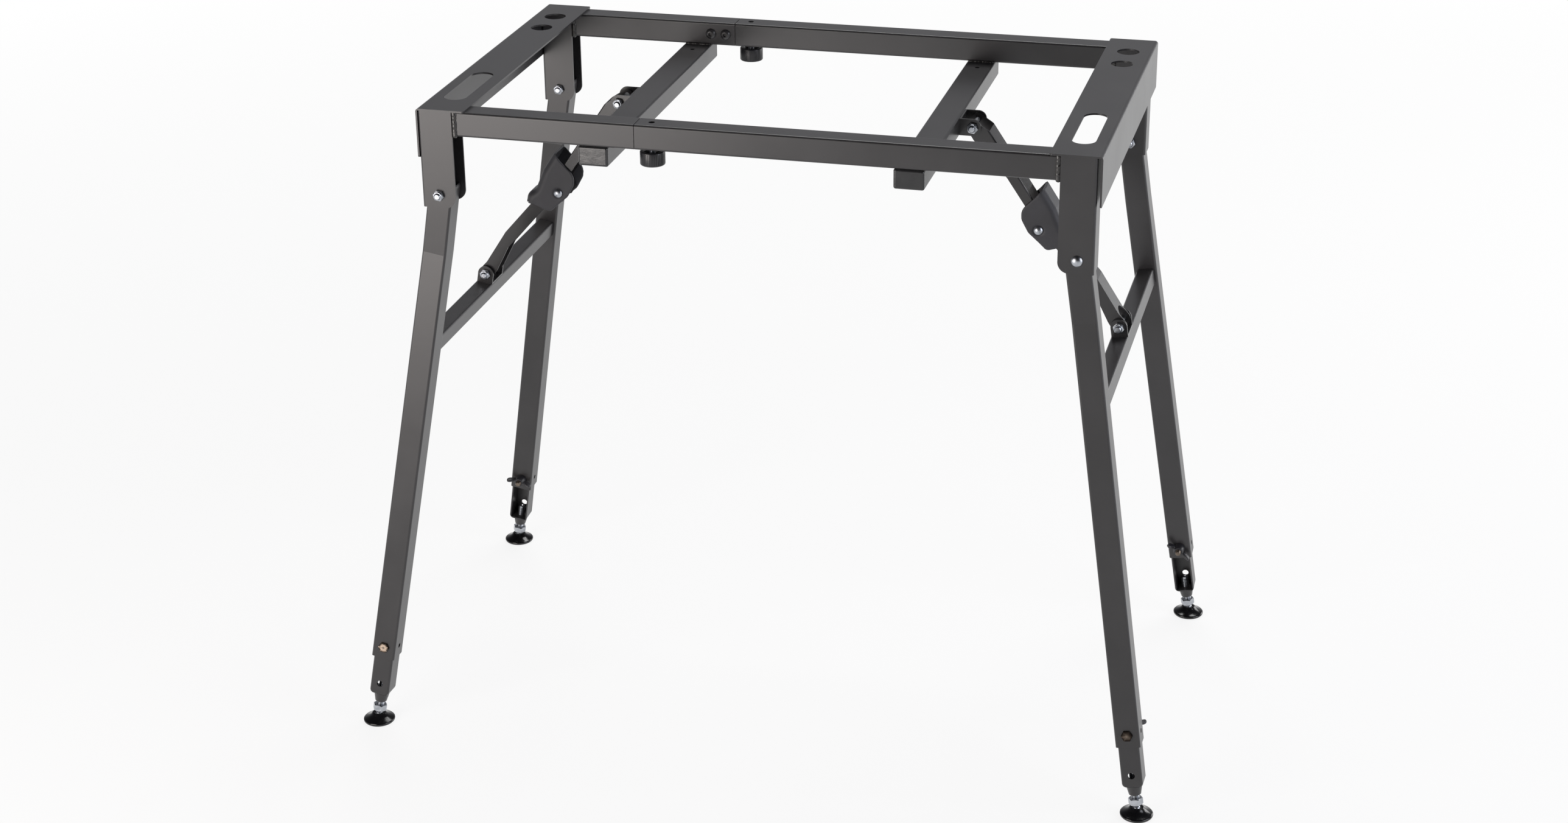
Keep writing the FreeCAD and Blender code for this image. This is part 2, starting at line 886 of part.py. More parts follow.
def make_clevis(label, reach, radius, gap):
    """Two ears round a pin at the origin, with a web at x = reach."""
    sheet_t = size.clevis_sheet
    body = new_body(label)
    stock = sketch_on(body, "XZ_Plane")
    add_box(stock, ZERO, reach, -radius, radius)
    width = gap + sheet_t * 2
    pad(body, stock, width)
    nose = sketch_on(body, "XZ_Plane")
    add_circle(nose, ZERO, ZERO, radius * 2)
    pad(body, nose, width)
    between = sketch_on(body, "XZ_Plane")
    over = size.overrun
    add_box(between, -radius - over, reach - sheet_t, -radius - over, radius + over)
    pocket(body, between, gap)
    hole = sketch_on(body, "XZ_Plane")
    add_circle(hole, ZERO, ZERO, size.screw_diameter)
    pocket(body, hole, width + over)
    return body


upper_gap = size.upper_link_width + size.fit_gap * 2
lower_link_width = size.upper_link_width - size.link_sheet * 2 - size.fit_gap * 2
lower_gap = lower_link_width + size.lower_clevis_gap * 2

for side in sides:
    brace = braces[side.name]
    body = make_clevis(
        f"{side.name}_upper_clevis",
        size.brace_pin_reach,
        size.upper_clevis_radius,
        upper_gap,
    )
    place(body, tuple(brace.top), side.inward)
    node(body.Label, body)


# Leg frames: two bent legs, the bar between them and the brace's lower clevis

def edges_where(feature, test):
    """Names of the edges whose own bounding box passes a test."""
    found = []
    for index, edge in enumerate(feature.Shape.Edges, start=1):
        if test(edge.BoundBox):
            found.append(f"Edge{index}")
    if not found:
        raise ValueError("no edge passes the test")
    return found


screw_hole = size.screw_diameter + size.running_clearance * 2


def make_leg(side, row):
    """A bent square tube. Its y axis points out of the stand, so its flare does too."""
    half = half_tube
    wall = size.tube_wall
    bend = -size.leg_bend_drop
    length = side.flared_length(size.leg_end_drop)
    flare = size.leg_flare
    half_turn = tangent(flare / 2)
    body = new_body(f"{side.name}_{row}_leg")

    def strip(reach, past):
        """The side view, this far each side of the centre line and past both ends."""
        run = length + past
        end_y = run * sine(flare)
        end_z = bend - run * cosine(flare)
        return [
            (-reach, size.leg_above_pivot + past),
            (-reach, bend - reach * half_turn),
            (end_y - reach * cosine(flare), end_z - reach * sine(flare)),
            (end_y + reach * cosine(flare), end_z + reach * sine(flare)),
            (reach, bend + reach * half_turn),
            (reach, size.leg_above_pivot + past),
        ]

    outside = sketch_on(body, "YZ_Plane")
    add_outline(outside, strip(half, ZERO))
    blank = pad(body, outside, size.tube_size)
    top = [(half, size.leg_above_pivot), (-half, size.leg_above_pivot)]
    fillet(body, edges_along(blank, "y", top), size.leg_top_round)
    corners = edges_where(
        body.Tip, lambda box: box.ZLength > size.leg_bend_drop.value / 2
    )
    fillet(body, corners, size.tube_corner)
    inside = sketch_on(body, "YZ_Plane")
    add_outline(inside, strip(half - wall, size.overrun))
    pocket(body, inside, size.tube_size - wall * 2)
    pivot = sketch_on(body, "XZ_Plane")
    add_circle(pivot, ZERO, ZERO, screw_hole)
    pocket(body, pivot, size.tube_size + size.overrun)

    screw_at = -(length - size.leg_screw_above_end)
    through = sketch_on(body, "XZ_Plane")
    tilt_sketch(through, bend, ZERO, flare)
    add_circle(through, ZERO, screw_at, size.screw_diameter)
    pocket(body, through, size.tube_size + size.overrun)
    socket = sketch_on(body, "XZ_Plane")
    tilt_sketch(socket, bend, half, flare)
    add_hexagon(socket, ZERO, screw_at, size.nut_flats + size.hex_hole_clearance)
    pocket(body, socket, (wall + size.overrun) * 2)
    side_hole = sketch_on(body, "YZ_Plane")
    run = length - size.leg_screw_above_end
    add_circle(side_hole, run * sine(flare), bend - run * cosine(flare), size.leg_side_hole)
    pocket(body, side_hole, size.tube_size + size.overrun)
    out = row_out[row]
    up = side.leg_up()
    place(body, tuple(side.pivot(row_place[row])), out.cross(up), up)
    node(body.Label, body)


def tilt_sketch(sketch, rise, reach, angle):
    """Turns a sketch on the XZ plane about the bend and moves it out to one face."""
    centre = FreeCAD.Vector(0, rise.value, 0)
    turn = FreeCAD.Rotation(RIGHT, angle.value)
    shift = turn.multVec(FreeCAD.Vector(0, 0, -reach.value))
    sketch.AttachmentOffset = FreeCAD.Placement(centre + shift, turn)


for side in sides:
    for row in rows:
        make_leg(side, row)


def make_leg_bar(side):
    """The bar between the two legs, with its ends cut to the flare of the legs."""
    brace = braces[side.name]
    side_size = size.leg_bar_size
    half = side_size / 2
    brace_drop = (size.brace_foot_drop - side.pivot_drop) / cosine(side.splay)
    centre_drop = brace_drop + size.leg_bar_below_pin + half
    flare = size.leg_flare

    def face(down):
        """How far the legs' inner faces are from the middle of the stand."""
        run_out = (centre_drop + down - size.leg_bend_drop) * tangent(flare)
        return middle_place - half_tube + run_out - half_tube / cosine(flare)

    body = new_body(f"{side.name}_leg_crossbar")
    outline = sketch_on(body, "YZ_Plane")
    add_outline(
        outline,
        [
            (-face(half), -half),
            (face(half), -half),
            (face(-half), half),
            (-face(-half), half),
        ],
    )
    blank = pad(body, outline, side_size)
    long_edges = edges_where(blank, lambda box: box.YLength > size.frame_depth.value / 2)
    fillet(body, long_edges, size.tube_corner)
    hollow = sketch_on(body, "XZ_Plane")
    reach = half - size.tube_wall
    add_box(hollow, -reach, reach, -reach, reach)
    pocket(body, hollow, size.frame_depth)
    up = side.leg_up()
    centre = side.pivot(middle_place) - up * centre_drop.value
    place(body, tuple(centre), side.leg_in(), up)
    node(body.Label, body)

    clevis = make_clevis(
        f"{side.name}_lower_clevis",
        size.leg_bar_below_pin,
        size.lower_clevis_radius,
        lower_gap,
    )
    place(clevis, tuple(brace.foot), -up, side.leg_in())
    node(clevis.Label, clevis)


for side in sides:
    make_leg_bar(side)


# Screws of the pivots and clevises

for side in sides:
    brace = braces[side.name]
    pivots = []
    for row in rows:
        grip = bracket_gap + size.bracket_sheet * 2
        toward = -BACK if side is right and row == "front" else BACK
        middle = side.pivot(row_place[row])
        pivots += place_screw(make_screw(grip), middle + toward * (grip.value / 2), toward)
    grip = upper_gap + size.clevis_sheet * 2
    gap = upper_gap if side is left else None
    pivots += place_screw(make_screw(grip, gap), brace.top + BACK * (grip.value / 2), BACK)
    group(f"{side.name}_pivot_bolts", pivots)
    grip = lower_gap + size.clevis_sheet * 2
    bolt = place_screw(make_screw(grip), brace.foot + BACK * (grip.value / 2), BACK)
    group(f"{side.name}_lower_clevis_bolt", bolt)


# Brace links: pressed channels whose webs meet above the knee and stop it there

pin_hole = size.rivet_diameter + size.running_clearance * 2
between_flanges = size.upper_link_width - size.link_sheet * 2


def make_upper_link(side):
    """Runs along x from the knee pin at its origin, with its web on the upper side."""
    brace = braces[side.name]
    span = Measure(
        (brace.top - brace.knee).Length, f"({(brace.top - brace.knee).Length})"
    )
    sheet_t = size.link_sheet
    over = size.overrun
    web = size.upper_web_out
    past = size.upper_web_past_knee
    body = new_body(f"{side.name}_upper_link")
    outline = sketch_on(body, "XZ_Plane")
    add_outline(
        outline,
        [
            (-past, web),
            (-past, -size.upper_eye_inner / 2),
            (-past / 2, -size.upper_knee_inner),
            (past / 2, -size.upper_knee_inner),
            (size.upper_knee_ramp, size.upper_waist_inner),
            (span * UPPER_WAIST_SHARE, size.upper_waist_inner),
            (span - size.web_setback, -size.upper_eye_inner),
            (span, -size.upper_eye_end),
            (span, size.upper_eye_end),
            (span - size.web_setback, web),
        ],
    )
    pad(body, outline, size.upper_link_width)
    nose = sketch_on(body, "XZ_Plane")
    add_circle(nose, span, ZERO, size.upper_eye_end * 2)
    pad(body, nose, size.upper_link_width)
    ridge = edges_along(
        body.Tip,
        "x",
        [(size.upper_link_width / 2, web), (-size.upper_link_width / 2, web)],
    )
    fillet(body, ridge, sheet_t)
    between = size.upper_link_width - sheet_t * 2
    hollow = sketch_on(body, "XZ_Plane")
    far = span + size.upper_eye_end + over
    add_box(hollow, -past - over, far, -web - over, web - sheet_t)
    pocket(body, hollow, between)
    openings = sketch_on(body, "XZ_Plane")
    add_box(openings, -size.upper_stop_end, size.upper_window_end, ZERO, web + over)
    add_box(openings, span - size.web_setback, far, ZERO, web + over)
    pocket(body, openings, between)
    pins = sketch_on(body, "XZ_Plane")
    add_circle(pins, ZERO, ZERO, pin_hole)
    add_circle(pins, span, ZERO, screw_hole)
    pocket(body, pins, size.upper_link_width + over)
    along, out = brace.link_frame(brace.knee, brace.top)
    place(body, tuple(brace.knee), along, out)
    node(body.Label, body)


def make_lower_link(side):
    """Runs along x from the pin in the lower clevis, and fits inside the upper link."""
    brace = braces[side.name]
    length = (brace.knee - brace.foot).Length
    span = Measure(length, f"({length})")
    sheet_t = size.link_sheet
    over = size.overrun
    web_end = span - size.web_setback
    crest = span - size.web_setback * 2 - size.lower_eye_inner
    body = new_body(f"{side.name}_lower_link")
    ridge = [
        (size.lower_web_start, size.lower_web_start_out),
        (size.lower_bend_along, size.lower_web_out),
        (crest, size.lower_web_out),
        (web_end, size.lower_web_knee_out),
    ]
    outline = sketch_on(body, "XZ_Plane")
    add_outline(
        outline,
        [
            (ZERO, size.lower_eye_end),
            (ZERO, -size.lower_eye_end),
            (size.lower_web_start, -size.lower_eye_inner),
            (size.lower_bend_along - size.web_setback, size.lower_waist_inner),
            (span - size.lower_knee_ramp, size.lower_waist_inner),
            (span - size.lower_knee_radius / 2, -size.lower_knee_radius),
            (span, -size.lower_knee_radius),
            (span, size.lower_knee_radius),
            (web_end, size.lower_knee_radius),
            *reversed(ridge),
        ],
    )
    pad(body, outline, lower_link_width)
    noses = sketch_on(body, "XZ_Plane")
    add_circle(noses, ZERO, ZERO, size.lower_eye_end * 2)
    pad(body, noses, lower_link_width)
    noses = sketch_on(body, "XZ_Plane")
    add_circle(noses, span, ZERO, size.lower_knee_radius * 2)
    pad(body, noses, lower_link_width)
    between = lower_link_width - sheet_t * 2
    hollow = sketch_on(body, "XZ_Plane")
    low = -size.lower_web_out - over
    inner = [(x, z - sheet_t) for x, z in ridge]
    add_outline(
        hollow,
        [
            (-size.lower_eye_end - over, low),
            (span + size.lower_knee_radius + over, low),
            (span + size.lower_knee_radius + over, size.lower_web_knee_out - sheet_t),
            *reversed(inner),
            (-size.lower_eye_end - over, size.lower_web_start_out - sheet_t),
        ],
    )
    pocket(body, hollow, between)
    notch = sketch_on(body, "XY_Plane")
    start = size.lower_notch - between / 2
    add_circle(notch, start, ZERO, between - size.fit_gap)
    pocket(body, notch, (size.lower_web_out + over) * 2)
    notch = sketch_on(body, "XY_Plane")
    reach = between / 2 - size.fit_gap / 2
    add_box(notch, -size.lower_eye_end - over, start, -reach, reach)
    pocket(body, notch, (size.lower_web_out + over) * 2)
    pins = sketch_on(body, "XZ_Plane")
    add_circle(pins, ZERO, ZERO, screw_hole)
    add_circle(pins, span, ZERO, pin_hole)
    pocket(body, pins, lower_link_width + over)
    along, out = brace.link_frame(brace.foot, brace.knee)
    place(body, tuple(brace.foot), along, out)
    node(body.Label, body)


def make_grip(side):
    """The hooded handle round the knee; its two cheeks sit outside the links."""
    brace = braces[side.name]
    up, down, top, low = size.grip_up, size.grip_down, size.grip_top, size.grip_inner
    crown = [(up * a, top * b) for a, b in GRIP_UP_SHARES]
    crown += [(-down * a, top * b) for a, b in GRIP_DOWN_SHARES[:3]]
    heel = [(-down * a, top * b) for a, b in GRIP_DOWN_SHARES[3:]]
    inner = [(up * a, -low * b) for a, b in GRIP_INNER_SHARES]
    mouth = [(up * a, top * b) for a, b in GRIP_MOUTH_SHARES]
    body = new_body(f"{side.name}_release_grip")
    outline = sketch_on(body, "XZ_Plane")
    add_outline(outline, crown + heel + inner + mouth)
    blank = pad(body, outline, size.grip_width)
    bends = edges_along(blank, "y", crown[1:-1])
    fillet(body, bends, size.grip_blend)
    half = size.grip_width.value / 2
    floor = (crown[-1][1] + heel[0][1]).value / 2
    rim = edges_where(
        body.Tip,
        lambda box: abs(abs(box.YMin) - half) < size.grip_skin.value / 100
        and box.YLength < size.grip_skin.value / 100
        and box.ZMin > floor
        and box.XLength > 0,
    )
    fillet(body, rim, size.grip_crown)
    between = size.grip_width - size.grip_cheek * 2
    hollow = sketch_on(body, "XZ_Plane")
    over = size.overrun
    skin = size.grip_skin
    inner_crown = [(x, z - skin) for x, z in crown]
    first_x, first_z = inner_crown[0]
    last_x, last_z = inner_crown[-1]
    inner_crown[0] = (first_x + over, first_z)
    inner_crown[-1] = (last_x - over, last_z)
    add_outline(
        hollow,
        [*inner_crown, (last_x - over, -low - over), (first_x + over, -low - over)],
    )
    pocket(body, hollow, between)
    pins = sketch_on(body, "XZ_Plane")
    add_circle(pins, ZERO, ZERO, size.rivet_diameter)
    pocket(body, pins, size.grip_width + over)
    along, out = brace.link_frame(brace.knee, brace.top)
    place(body, tuple(brace.knee), along, out)
    node(body.Label, body)

    head = size.rivet_dome_diameter, size.rivet_dome_height, size.rivet_dome_radius
    depth = size.grip_width
    far = dome(*head)
    far.Placement = FreeCAD.Placement(
        FreeCAD.Vector(0, 0, -depth.value), FreeCAD.Rotation(RIGHT, FULL_TURN / 2)
    )
    if side is left:
        shank = raised(cylinder(size.rivet_diameter, depth), -depth)
        rivet = [fused(dome(*head), shank, far)]
    else:
        stub = (depth - between_flanges) / 2
        near_stub = raised(cylinder(size.rivet_diameter, stub), -stub)
        far_stub = raised(cylinder(size.rivet_diameter, stub), -depth)
        rivet = [fused(dome(*head), near_stub), fused(far_stub, far)]
    for piece in rivet:
        place(piece, tuple(brace.knee - BACK * half), RIGHT, -BACK)
    group(f"{side.name}_grip_rivet", rivet)


for side in sides:
    make_upper_link(side)
    make_lower_link(side)
    make_grip(side)


# Inner legs, with the screws and wing nuts that hold them and the levelling feet

def make_inner_leg(side, row):
    """A channel with its web outwards. Its origin is on the leg's axis at the screw."""
    full = size.inner_leg_size
    half = full / 2
    sheet_t = size.inner_leg_sheet
    over = size.overrun
    top = size.inner_leg_pitch * (size.height_holes - 2) + size.inner_leg_top
    tail = size.inner_leg_tail
    body = new_body(f"{side.name}_{row}_inner_leg_channel")
    face = sketch_on(body, "XZ_Plane")
    add_box(face, -half, half, -tail, top)
    blank = pad(body, face, full)
    lower = edges_along(blank, "y", [(half, -tail), (-half, -tail)])
    fillet(body, lower, size.inner_leg_corner)
    folds = edges_along(body.Tip, "z", [(half, half), (-half, half)])
    fillet(body, folds, size.inner_leg_fold)
    hollow = sketch_on(body, "YZ_Plane")
    reach = half - sheet_t
    add_box(hollow, -half - over, reach, sheet_t - tail, top + over)
    pocket(body, hollow, reach * 2)
    holes = sketch_on(body, "XZ_Plane", -half)
    add_circle(holes, ZERO, -size.inner_leg_pitch, size.inner_leg_hole)
    row_of_holes = pocket(body, holes, half)
    pattern = body.newObject("PartDesign::LinearPattern", "LinearPattern")
    pattern.Originals = [row_of_holes]
    pattern.Direction = (holes, ["V_Axis"])
    pattern.Length = (size.inner_leg_pitch * (size.height_holes - 1)).value
    pattern.setExpression("Length", (size.inner_leg_pitch * (size.height_holes - 1)).text)
    pattern.setExpression("Occurrences", "Sizes.height_holes")
    body.Tip = pattern
    doc.recompute()
    stud_bore = sketch_on(body, "XY_Plane", -tail)
    stud_hole = size.stud_diameter + size.running_clearance * 2
    add_circle(stud_bore, ZERO, ZERO, stud_hole)
    pocket(body, stud_bore, (sheet_t + over) * 2)
    neck_height = size.weld_nut_height
    neck = cone(size.weld_nut_bottom, size.weld_nut_top, neck_height)
    neck_bore = cylinder(stud_hole, neck_height)
    socket = cut(neck, neck_bore)
    bend, across, up = side.lower_leg(row)
    drop = side.flared_length(size.leg_end_drop) - size.leg_screw_above_end
    origin = bend - up * drop.value
    place(body, tuple(origin), across, up)
    place(socket, tuple(origin - up * (tail + neck_height).value), across, up)
    group(f"{side.name}_{row}_inner_leg", [body, socket])
    return origin, across, up


def make_height_screw(origin, across, up):
    """A hexagon screw whose head sits in the leg's outer wall, on the inner leg's web."""
    seat = size.inner_leg_size / 2
    head = hexagon(size.nut_flats, size.leg_screw_head)
    reach = seat + half_tube + size.leg_screw_tip
    shank = raised(cylinder(size.screw_diameter, reach), -reach)
    screw = fused(head, shank)
    out = up.cross(across)
    place(screw, tuple(origin + out * (seat + size.running_clearance).value), -up.cross(out), out)
    return screw


def make_wing_nut(label, origin, across, up):
    height = size.wing_nut_height
    body = new_body(label)
    turned(
        body,
        [
            (ZERO, ZERO),
            (size.wing_nut_hub / 2, ZERO),
            (size.wing_nut_hub / 2, size.wing_lift / 2),
            (size.wing_nut_nose / 2, height),
            (ZERO, height),
        ],
    )
    for hand in (1, -1):
        wing = sketch_on(body, "XZ_Plane")
        add_outline(
            wing,
            [
                (ZERO, size.wing_lift / 2),
                (size.wing_root * hand, size.wing_lift / 2),
                (size.wing_span / 2 * hand, size.wing_rise / 2),
                (size.wing_span / 2 * hand, size.wing_rise),
                (size.wing_span / 3 * hand, size.wing_rise),
                (size.wing_root * hand, height - size.wing_lift),
                (ZERO, height - size.wing_lift),
            ],
        )
        blade = pad(body, wing, size.wing_thickness)
        tips = [
            (size.wing_span / 2 * hand, size.wing_rise),
            (size.wing_span / 3 * hand, size.wing_rise),
        ]
        fillet(body, edges_along(blade, "y", tips), size.wing_round)
    bore = sketch_on(body, "XY_Plane")
    add_circle(bore, ZERO, ZERO, screw_hole)
    pocket(body, bore, (size.wing_rise + size.overrun) * 2)
    out = up.cross(across)
    seat = half_tube + size.running_clearance
    place(body, tuple(origin - out * seat.value), up, -out)
    node(label, body)


def make_foot(side, row, origin, across, up):
    """A stud with its lock nut and ball, and the disc that swivels on the ball."""
    ball_drop = (size.floor_drop - size.ball_above_floor).value + origin.z
    centre = origin - up * (ball_drop / up.z)
    neck = cylinder(size.stud_neck, size.lock_nut_above_ball)
    nut = raised(hexagon(size.lock_nut_flats, size.lock_nut_height), size.lock_nut_above_ball)
    thread_start = size.lock_nut_above_ball + size.lock_nut_height
    thread = raised(cylinder(size.stud_diameter, size.stud_length - thread_start), thread_start)
    stud = fused(ball(size.ball_diameter), neck, nut, thread)
    place(stud, tuple(centre), across, up)
    node(f"{side.name}_{row}_foot_stud", stud)

    body = new_body(f"{side.name}_{row}_foot_disc")
    base = -size.ball_above_floor
    turned(
        body,
        [
            (ZERO, base),
            (size.foot_base_diameter / 2, base),
            (size.foot_diameter / 2, base + size.foot_rim_low),
            (size.foot_diameter / 2, base + size.foot_rim_high),
            (size.foot_top_diameter / 2, base + size.foot_height),
            (ZERO, base + size.foot_height),
        ],
    )
    mouth = sketch_on(body, "XY_Plane", size.foot_height)
    add_circle(mouth, ZERO, ZERO, size.foot_mouth)
    pocket(body, mouth, size.foot_height * 2)
    hollow = sketch_on(body, "XZ_Plane")
    radius = size.ball_diameter / 2 + size.socket_clearance
    reach = radius.value
    axis = Part.LineSegment(FreeCAD.Vector(0, reach, 0), FreeCAD.Vector(0, -reach, 0))
    bow = Part.ArcOfCircle(
        Part.Circle(FreeCAD.Vector(0, 0, 0), FreeCAD.Vector(0, 0, 1), reach),
        -math.pi / 2,
        math.pi / 2,
    )
    line = hollow.addGeometry(axis, False)
    arc = hollow.addGeometry(bow, False)
    hollow.addConstraint(Sketcher.Constraint("Coincident", line, 2, arc, 1))
    hollow.addConstraint(Sketcher.Constraint("Coincident", line, 1, arc, 2))
    hollow.addConstraint(Sketcher.Constraint("Coincident", arc, 3, -1, 1))
    hollow.addConstraint(Sketcher.Constraint("PointOnObject", line, 1, -2))
    hollow.addConstraint(Sketcher.Constraint("PointOnObject", line, 2, -2))
    fix(hollow, "Radius", (arc,), radius)
    groove = body.newObject("PartDesign::Groove", "Groove")
    groove.Profile = hollow
    groove.ReferenceAxis = (hollow, ["V_Axis"])
    groove.Angle = FULL_TURN
    doc.recompute()
    place(body, tuple(centre), RIGHT, UP)
    node(body.Label, body)


for side in sides:
    screws = []
    for row in rows:
        origin, across, up = make_inner_leg(side, row)
        screws.append(make_height_screw(origin, across, up))
        make_wing_nut(f"{side.name}_{row}_wing_nut", origin, across, up)
        make_foot(side, row, origin, across, up)
    group(f"{side.name}_height_bolts", screws)


# Clamp knobs under the sliding tubes

def make_clamp_knob(row):
    body = new_body(f"{row}_knob_grip")
    disc = sketch_on(body, "XY_Plane")
    add_circle(disc, ZERO, ZERO, size.knob_diameter)
    blank = pad(body, disc, size.knob_height, middle=False)
    blank.Reversed = True
    doc.recompute()
    rims = edges_where(blank, lambda box: box.XLength > size.knob_diameter.value / 2)
    fillet(body, rims, size.knob_round)
    flute = sketch_on(body, "XY_Plane")
    add_circle(flute, size.knob_diameter / 2 + size.knob_flute / 2, ZERO, size.knob_flute * 2)
    groove = pocket(body, flute, (size.knob_height + size.overrun) * 2)
    pattern = body.newObject("PartDesign::PolarPattern", "PolarPattern")
    pattern.Originals = [groove]
    pattern.Axis = (flute, ["N_Axis"])
    pattern.Angle = FULL_TURN
    pattern.setExpression("Occurrences", "Sizes.knob_flutes")
    body.Tip = pattern
    doc.recompute()
    bore = sketch_on(body, "XY_Plane")
    add_circle(bore, ZERO, ZERO, size.screw_diameter)
    pocket(body, bore, size.knob_screw_depth * 2)
    tip = size.knob_gap + size.tube_wall + size.slide_clearance - size.running_clearance / 2
    point = size.screw_tip / 2
    shank = size.knob_screw_depth + tip - point
    screw = fused(
        raised(cylinder(size.screw_diameter, shank), -size.knob_screw_depth),
        raised(cone(size.screw_diameter, size.screw_diameter - point * 2, point), tip - point),
    )
    spot = size.seam_place + size.knob_offset
    where = (spot, row_place[row], -size.tube_size - size.knob_gap)
    place(body, where)
    place(screw, where)
    group(f"{row}_clamp_knob", [body, screw])


for row in rows:
    make_clamp_knob(row)


# Everything moves to the shared origin, is tested and is written out

doc.recompute()
for thing, where in placements:
    thing.Placement = where
doc.recompute()
whole = Part.makeCompound([thing.Shape for thing in nodes.values()])
box = whole.optimalBoundingBox(False, False)
shift = FreeCAD.Vector(-(box.XMin + box.XMax) / 2, -(box.YMin + box.YMax) / 2, -box.ZMin)
for thing, where in placements:
    thing.Placement = FreeCAD.Placement(where.Base + shift, where.Rotation)
doc.recompute()
for thing in doc.Objects:
    if "Invalid" in thing.State or "Error" in thing.State:
        raise ValueError(f"{thing.Label} did not build")
os.makedirs("parts", exist_ok=True)
for label, thing in nodes.items():
    if not thing.Shape.isValid() or not thing.Shape.Solids:
        raise ValueError(f"{label} is not a valid solid")
    thing.Shape.exportStep(f"parts/{label}.step")
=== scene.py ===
# %% [markdown]
# # A folding keyboard stand
# This notebook dresses the imported model of a folding keyboard stand. The welded steel frame, the
# legs and the brace links come from the CAD model and only need their finishes. The small parts
# that a machine makes with threads, chamfers and ribs are modelled here, one at a time.

# %% Load the imported model
import json
import math

import bpy
from mathutils import Matrix, Vector


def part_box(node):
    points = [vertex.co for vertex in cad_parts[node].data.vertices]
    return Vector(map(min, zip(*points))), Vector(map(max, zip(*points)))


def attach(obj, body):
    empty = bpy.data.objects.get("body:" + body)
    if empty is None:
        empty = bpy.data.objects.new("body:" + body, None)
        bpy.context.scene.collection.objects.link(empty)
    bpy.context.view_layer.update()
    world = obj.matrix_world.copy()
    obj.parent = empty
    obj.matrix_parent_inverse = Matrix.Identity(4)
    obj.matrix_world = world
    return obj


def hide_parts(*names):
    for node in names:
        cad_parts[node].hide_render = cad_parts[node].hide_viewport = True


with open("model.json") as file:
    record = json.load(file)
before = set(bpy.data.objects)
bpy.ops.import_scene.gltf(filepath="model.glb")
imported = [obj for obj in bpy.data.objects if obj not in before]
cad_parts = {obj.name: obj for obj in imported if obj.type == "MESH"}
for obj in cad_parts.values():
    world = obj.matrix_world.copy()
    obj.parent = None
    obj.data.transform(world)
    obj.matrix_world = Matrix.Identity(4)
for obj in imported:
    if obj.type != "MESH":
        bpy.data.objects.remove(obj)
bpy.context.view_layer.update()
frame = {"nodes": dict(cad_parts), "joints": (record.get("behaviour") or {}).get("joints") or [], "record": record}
nodes = frame["nodes"]
joints = {joint["name"]: joint for joint in frame["joints"]}

# %% [markdown]
# ## The camera
# The photograph was taken from the front, a little to the right, looking down on the stand. The
# place, the direction and the lens were worked out from the corners of the frame, whose sizes are
# known. A camera looks along its own -Z axis with +Y up, so its matrix has the right, up and
# backward directions as its columns.

# %% Place the camera
CAMERA_PLACE = Vector((0.65734, -2.56245, 1.46833))
CAMERA_YAW = math.radians(14.663)
CAMERA_PITCH = math.radians(23.687)
CAMERA_ROLL = math.radians(-0.551)
SENSOR_WIDTH = 36.0
# The focal length as a share of the picture's width, both in pixels
FOCAL_SHARE = 4443.5 / 2576.0

level = Vector((math.cos(CAMERA_YAW), math.sin(CAMERA_YAW), 0))
forward = Vector((
    -math.sin(CAMERA_YAW) * math.cos(CAMERA_PITCH),
    math.cos(CAMERA_YAW) * math.cos(CAMERA_PITCH),
    -math.sin(CAMERA_PITCH),
))
above = level.cross(forward)
camera_right = level * math.cos(CAMERA_ROLL) + above * math.sin(CAMERA_ROLL)
camera_up = above * math.cos(CAMERA_ROLL) - level * math.sin(CAMERA_ROLL)
columns = Matrix((camera_right, camera_up, -forward)).transposed()
bpy.ops.object.camera_add()
camera = bpy.context.object
camera.name = "photo_camera"
camera.matrix_world = Matrix.Translation(CAMERA_PLACE) @ columns.to_4x4()
camera.data.sensor_width = SENSOR_WIDTH
camera.data.lens = SENSOR_WIDTH * FOCAL_SHARE
camera.data.clip_start = 0.05
bpy.context.scene.camera = camera
print("lens", round(camera.data.lens, 1), "mm")

# %% [markdown]
# ## Small tools for modelling
# Every small part is modelled at the origin in millimetres, along the Z axis, and is then carried
# to its place on the stand and scaled to metres. Turned parts, such as nuts, studs and discs, are
# drawn as half an outline and spun, which is what a lathe does. Flat parts are drawn as an outline,
# filled and extruded, which is what a press does.

# %% Tools that select, join and place
MM = 0.001
UP = Vector((0, 0, 1))
RIGHT = Vector((1, 0, 0))
BACK = Vector((0, 1, 0))


def only(*objs):
    """Selects these objects alone and makes the first one active."""
    active = bpy.context.view_layer.objects.active
    if active and active.mode != "OBJECT":
        bpy.ops.object.mode_set(mode="OBJECT")
    bpy.ops.object.select_all(action="DESELECT")
    for obj in objs:
        obj.select_set(True)
    bpy.context.view_layer.objects.active = objs[0]


def joined(name, objs):
    only(*objs)
    if len(objs) > 1:
        bpy.ops.object.join()
    obj = bpy.context.object
    obj.name = name
    obj.data.name = name
    return obj


def apply_modifiers(obj):
    only(obj)
    for modifier in list(obj.modifiers):
        bpy.ops.object.modifier_apply(modifier=modifier.name)


def settle(obj, origin, z_dir, x_dir):
    """Carries a finished piece to its place and leaves its object at the origin, unturned."""
    z_dir = Vector(z_dir).normalized()
    x_dir = Vector(x_dir)
    x_dir = (x_dir - z_dir * x_dir.dot(z_dir)).normalized()
    turn = Matrix((x_dir, z_dir.cross(x_dir), z_dir)).transposed().to_4x4()
    obj.matrix_world = Matrix.Translation(origin) @ turn @ Matrix.Scale(MM, 4)
    only(obj)
    bpy.ops.object.transform_apply(location=True, rotation=True, scale=True)
    return obj


def copy_of(master, name):
    twin = master.copy()
    twin.data = master.data.copy()
    twin.name = name
    bpy.context.collection.objects.link(twin)
    return twin


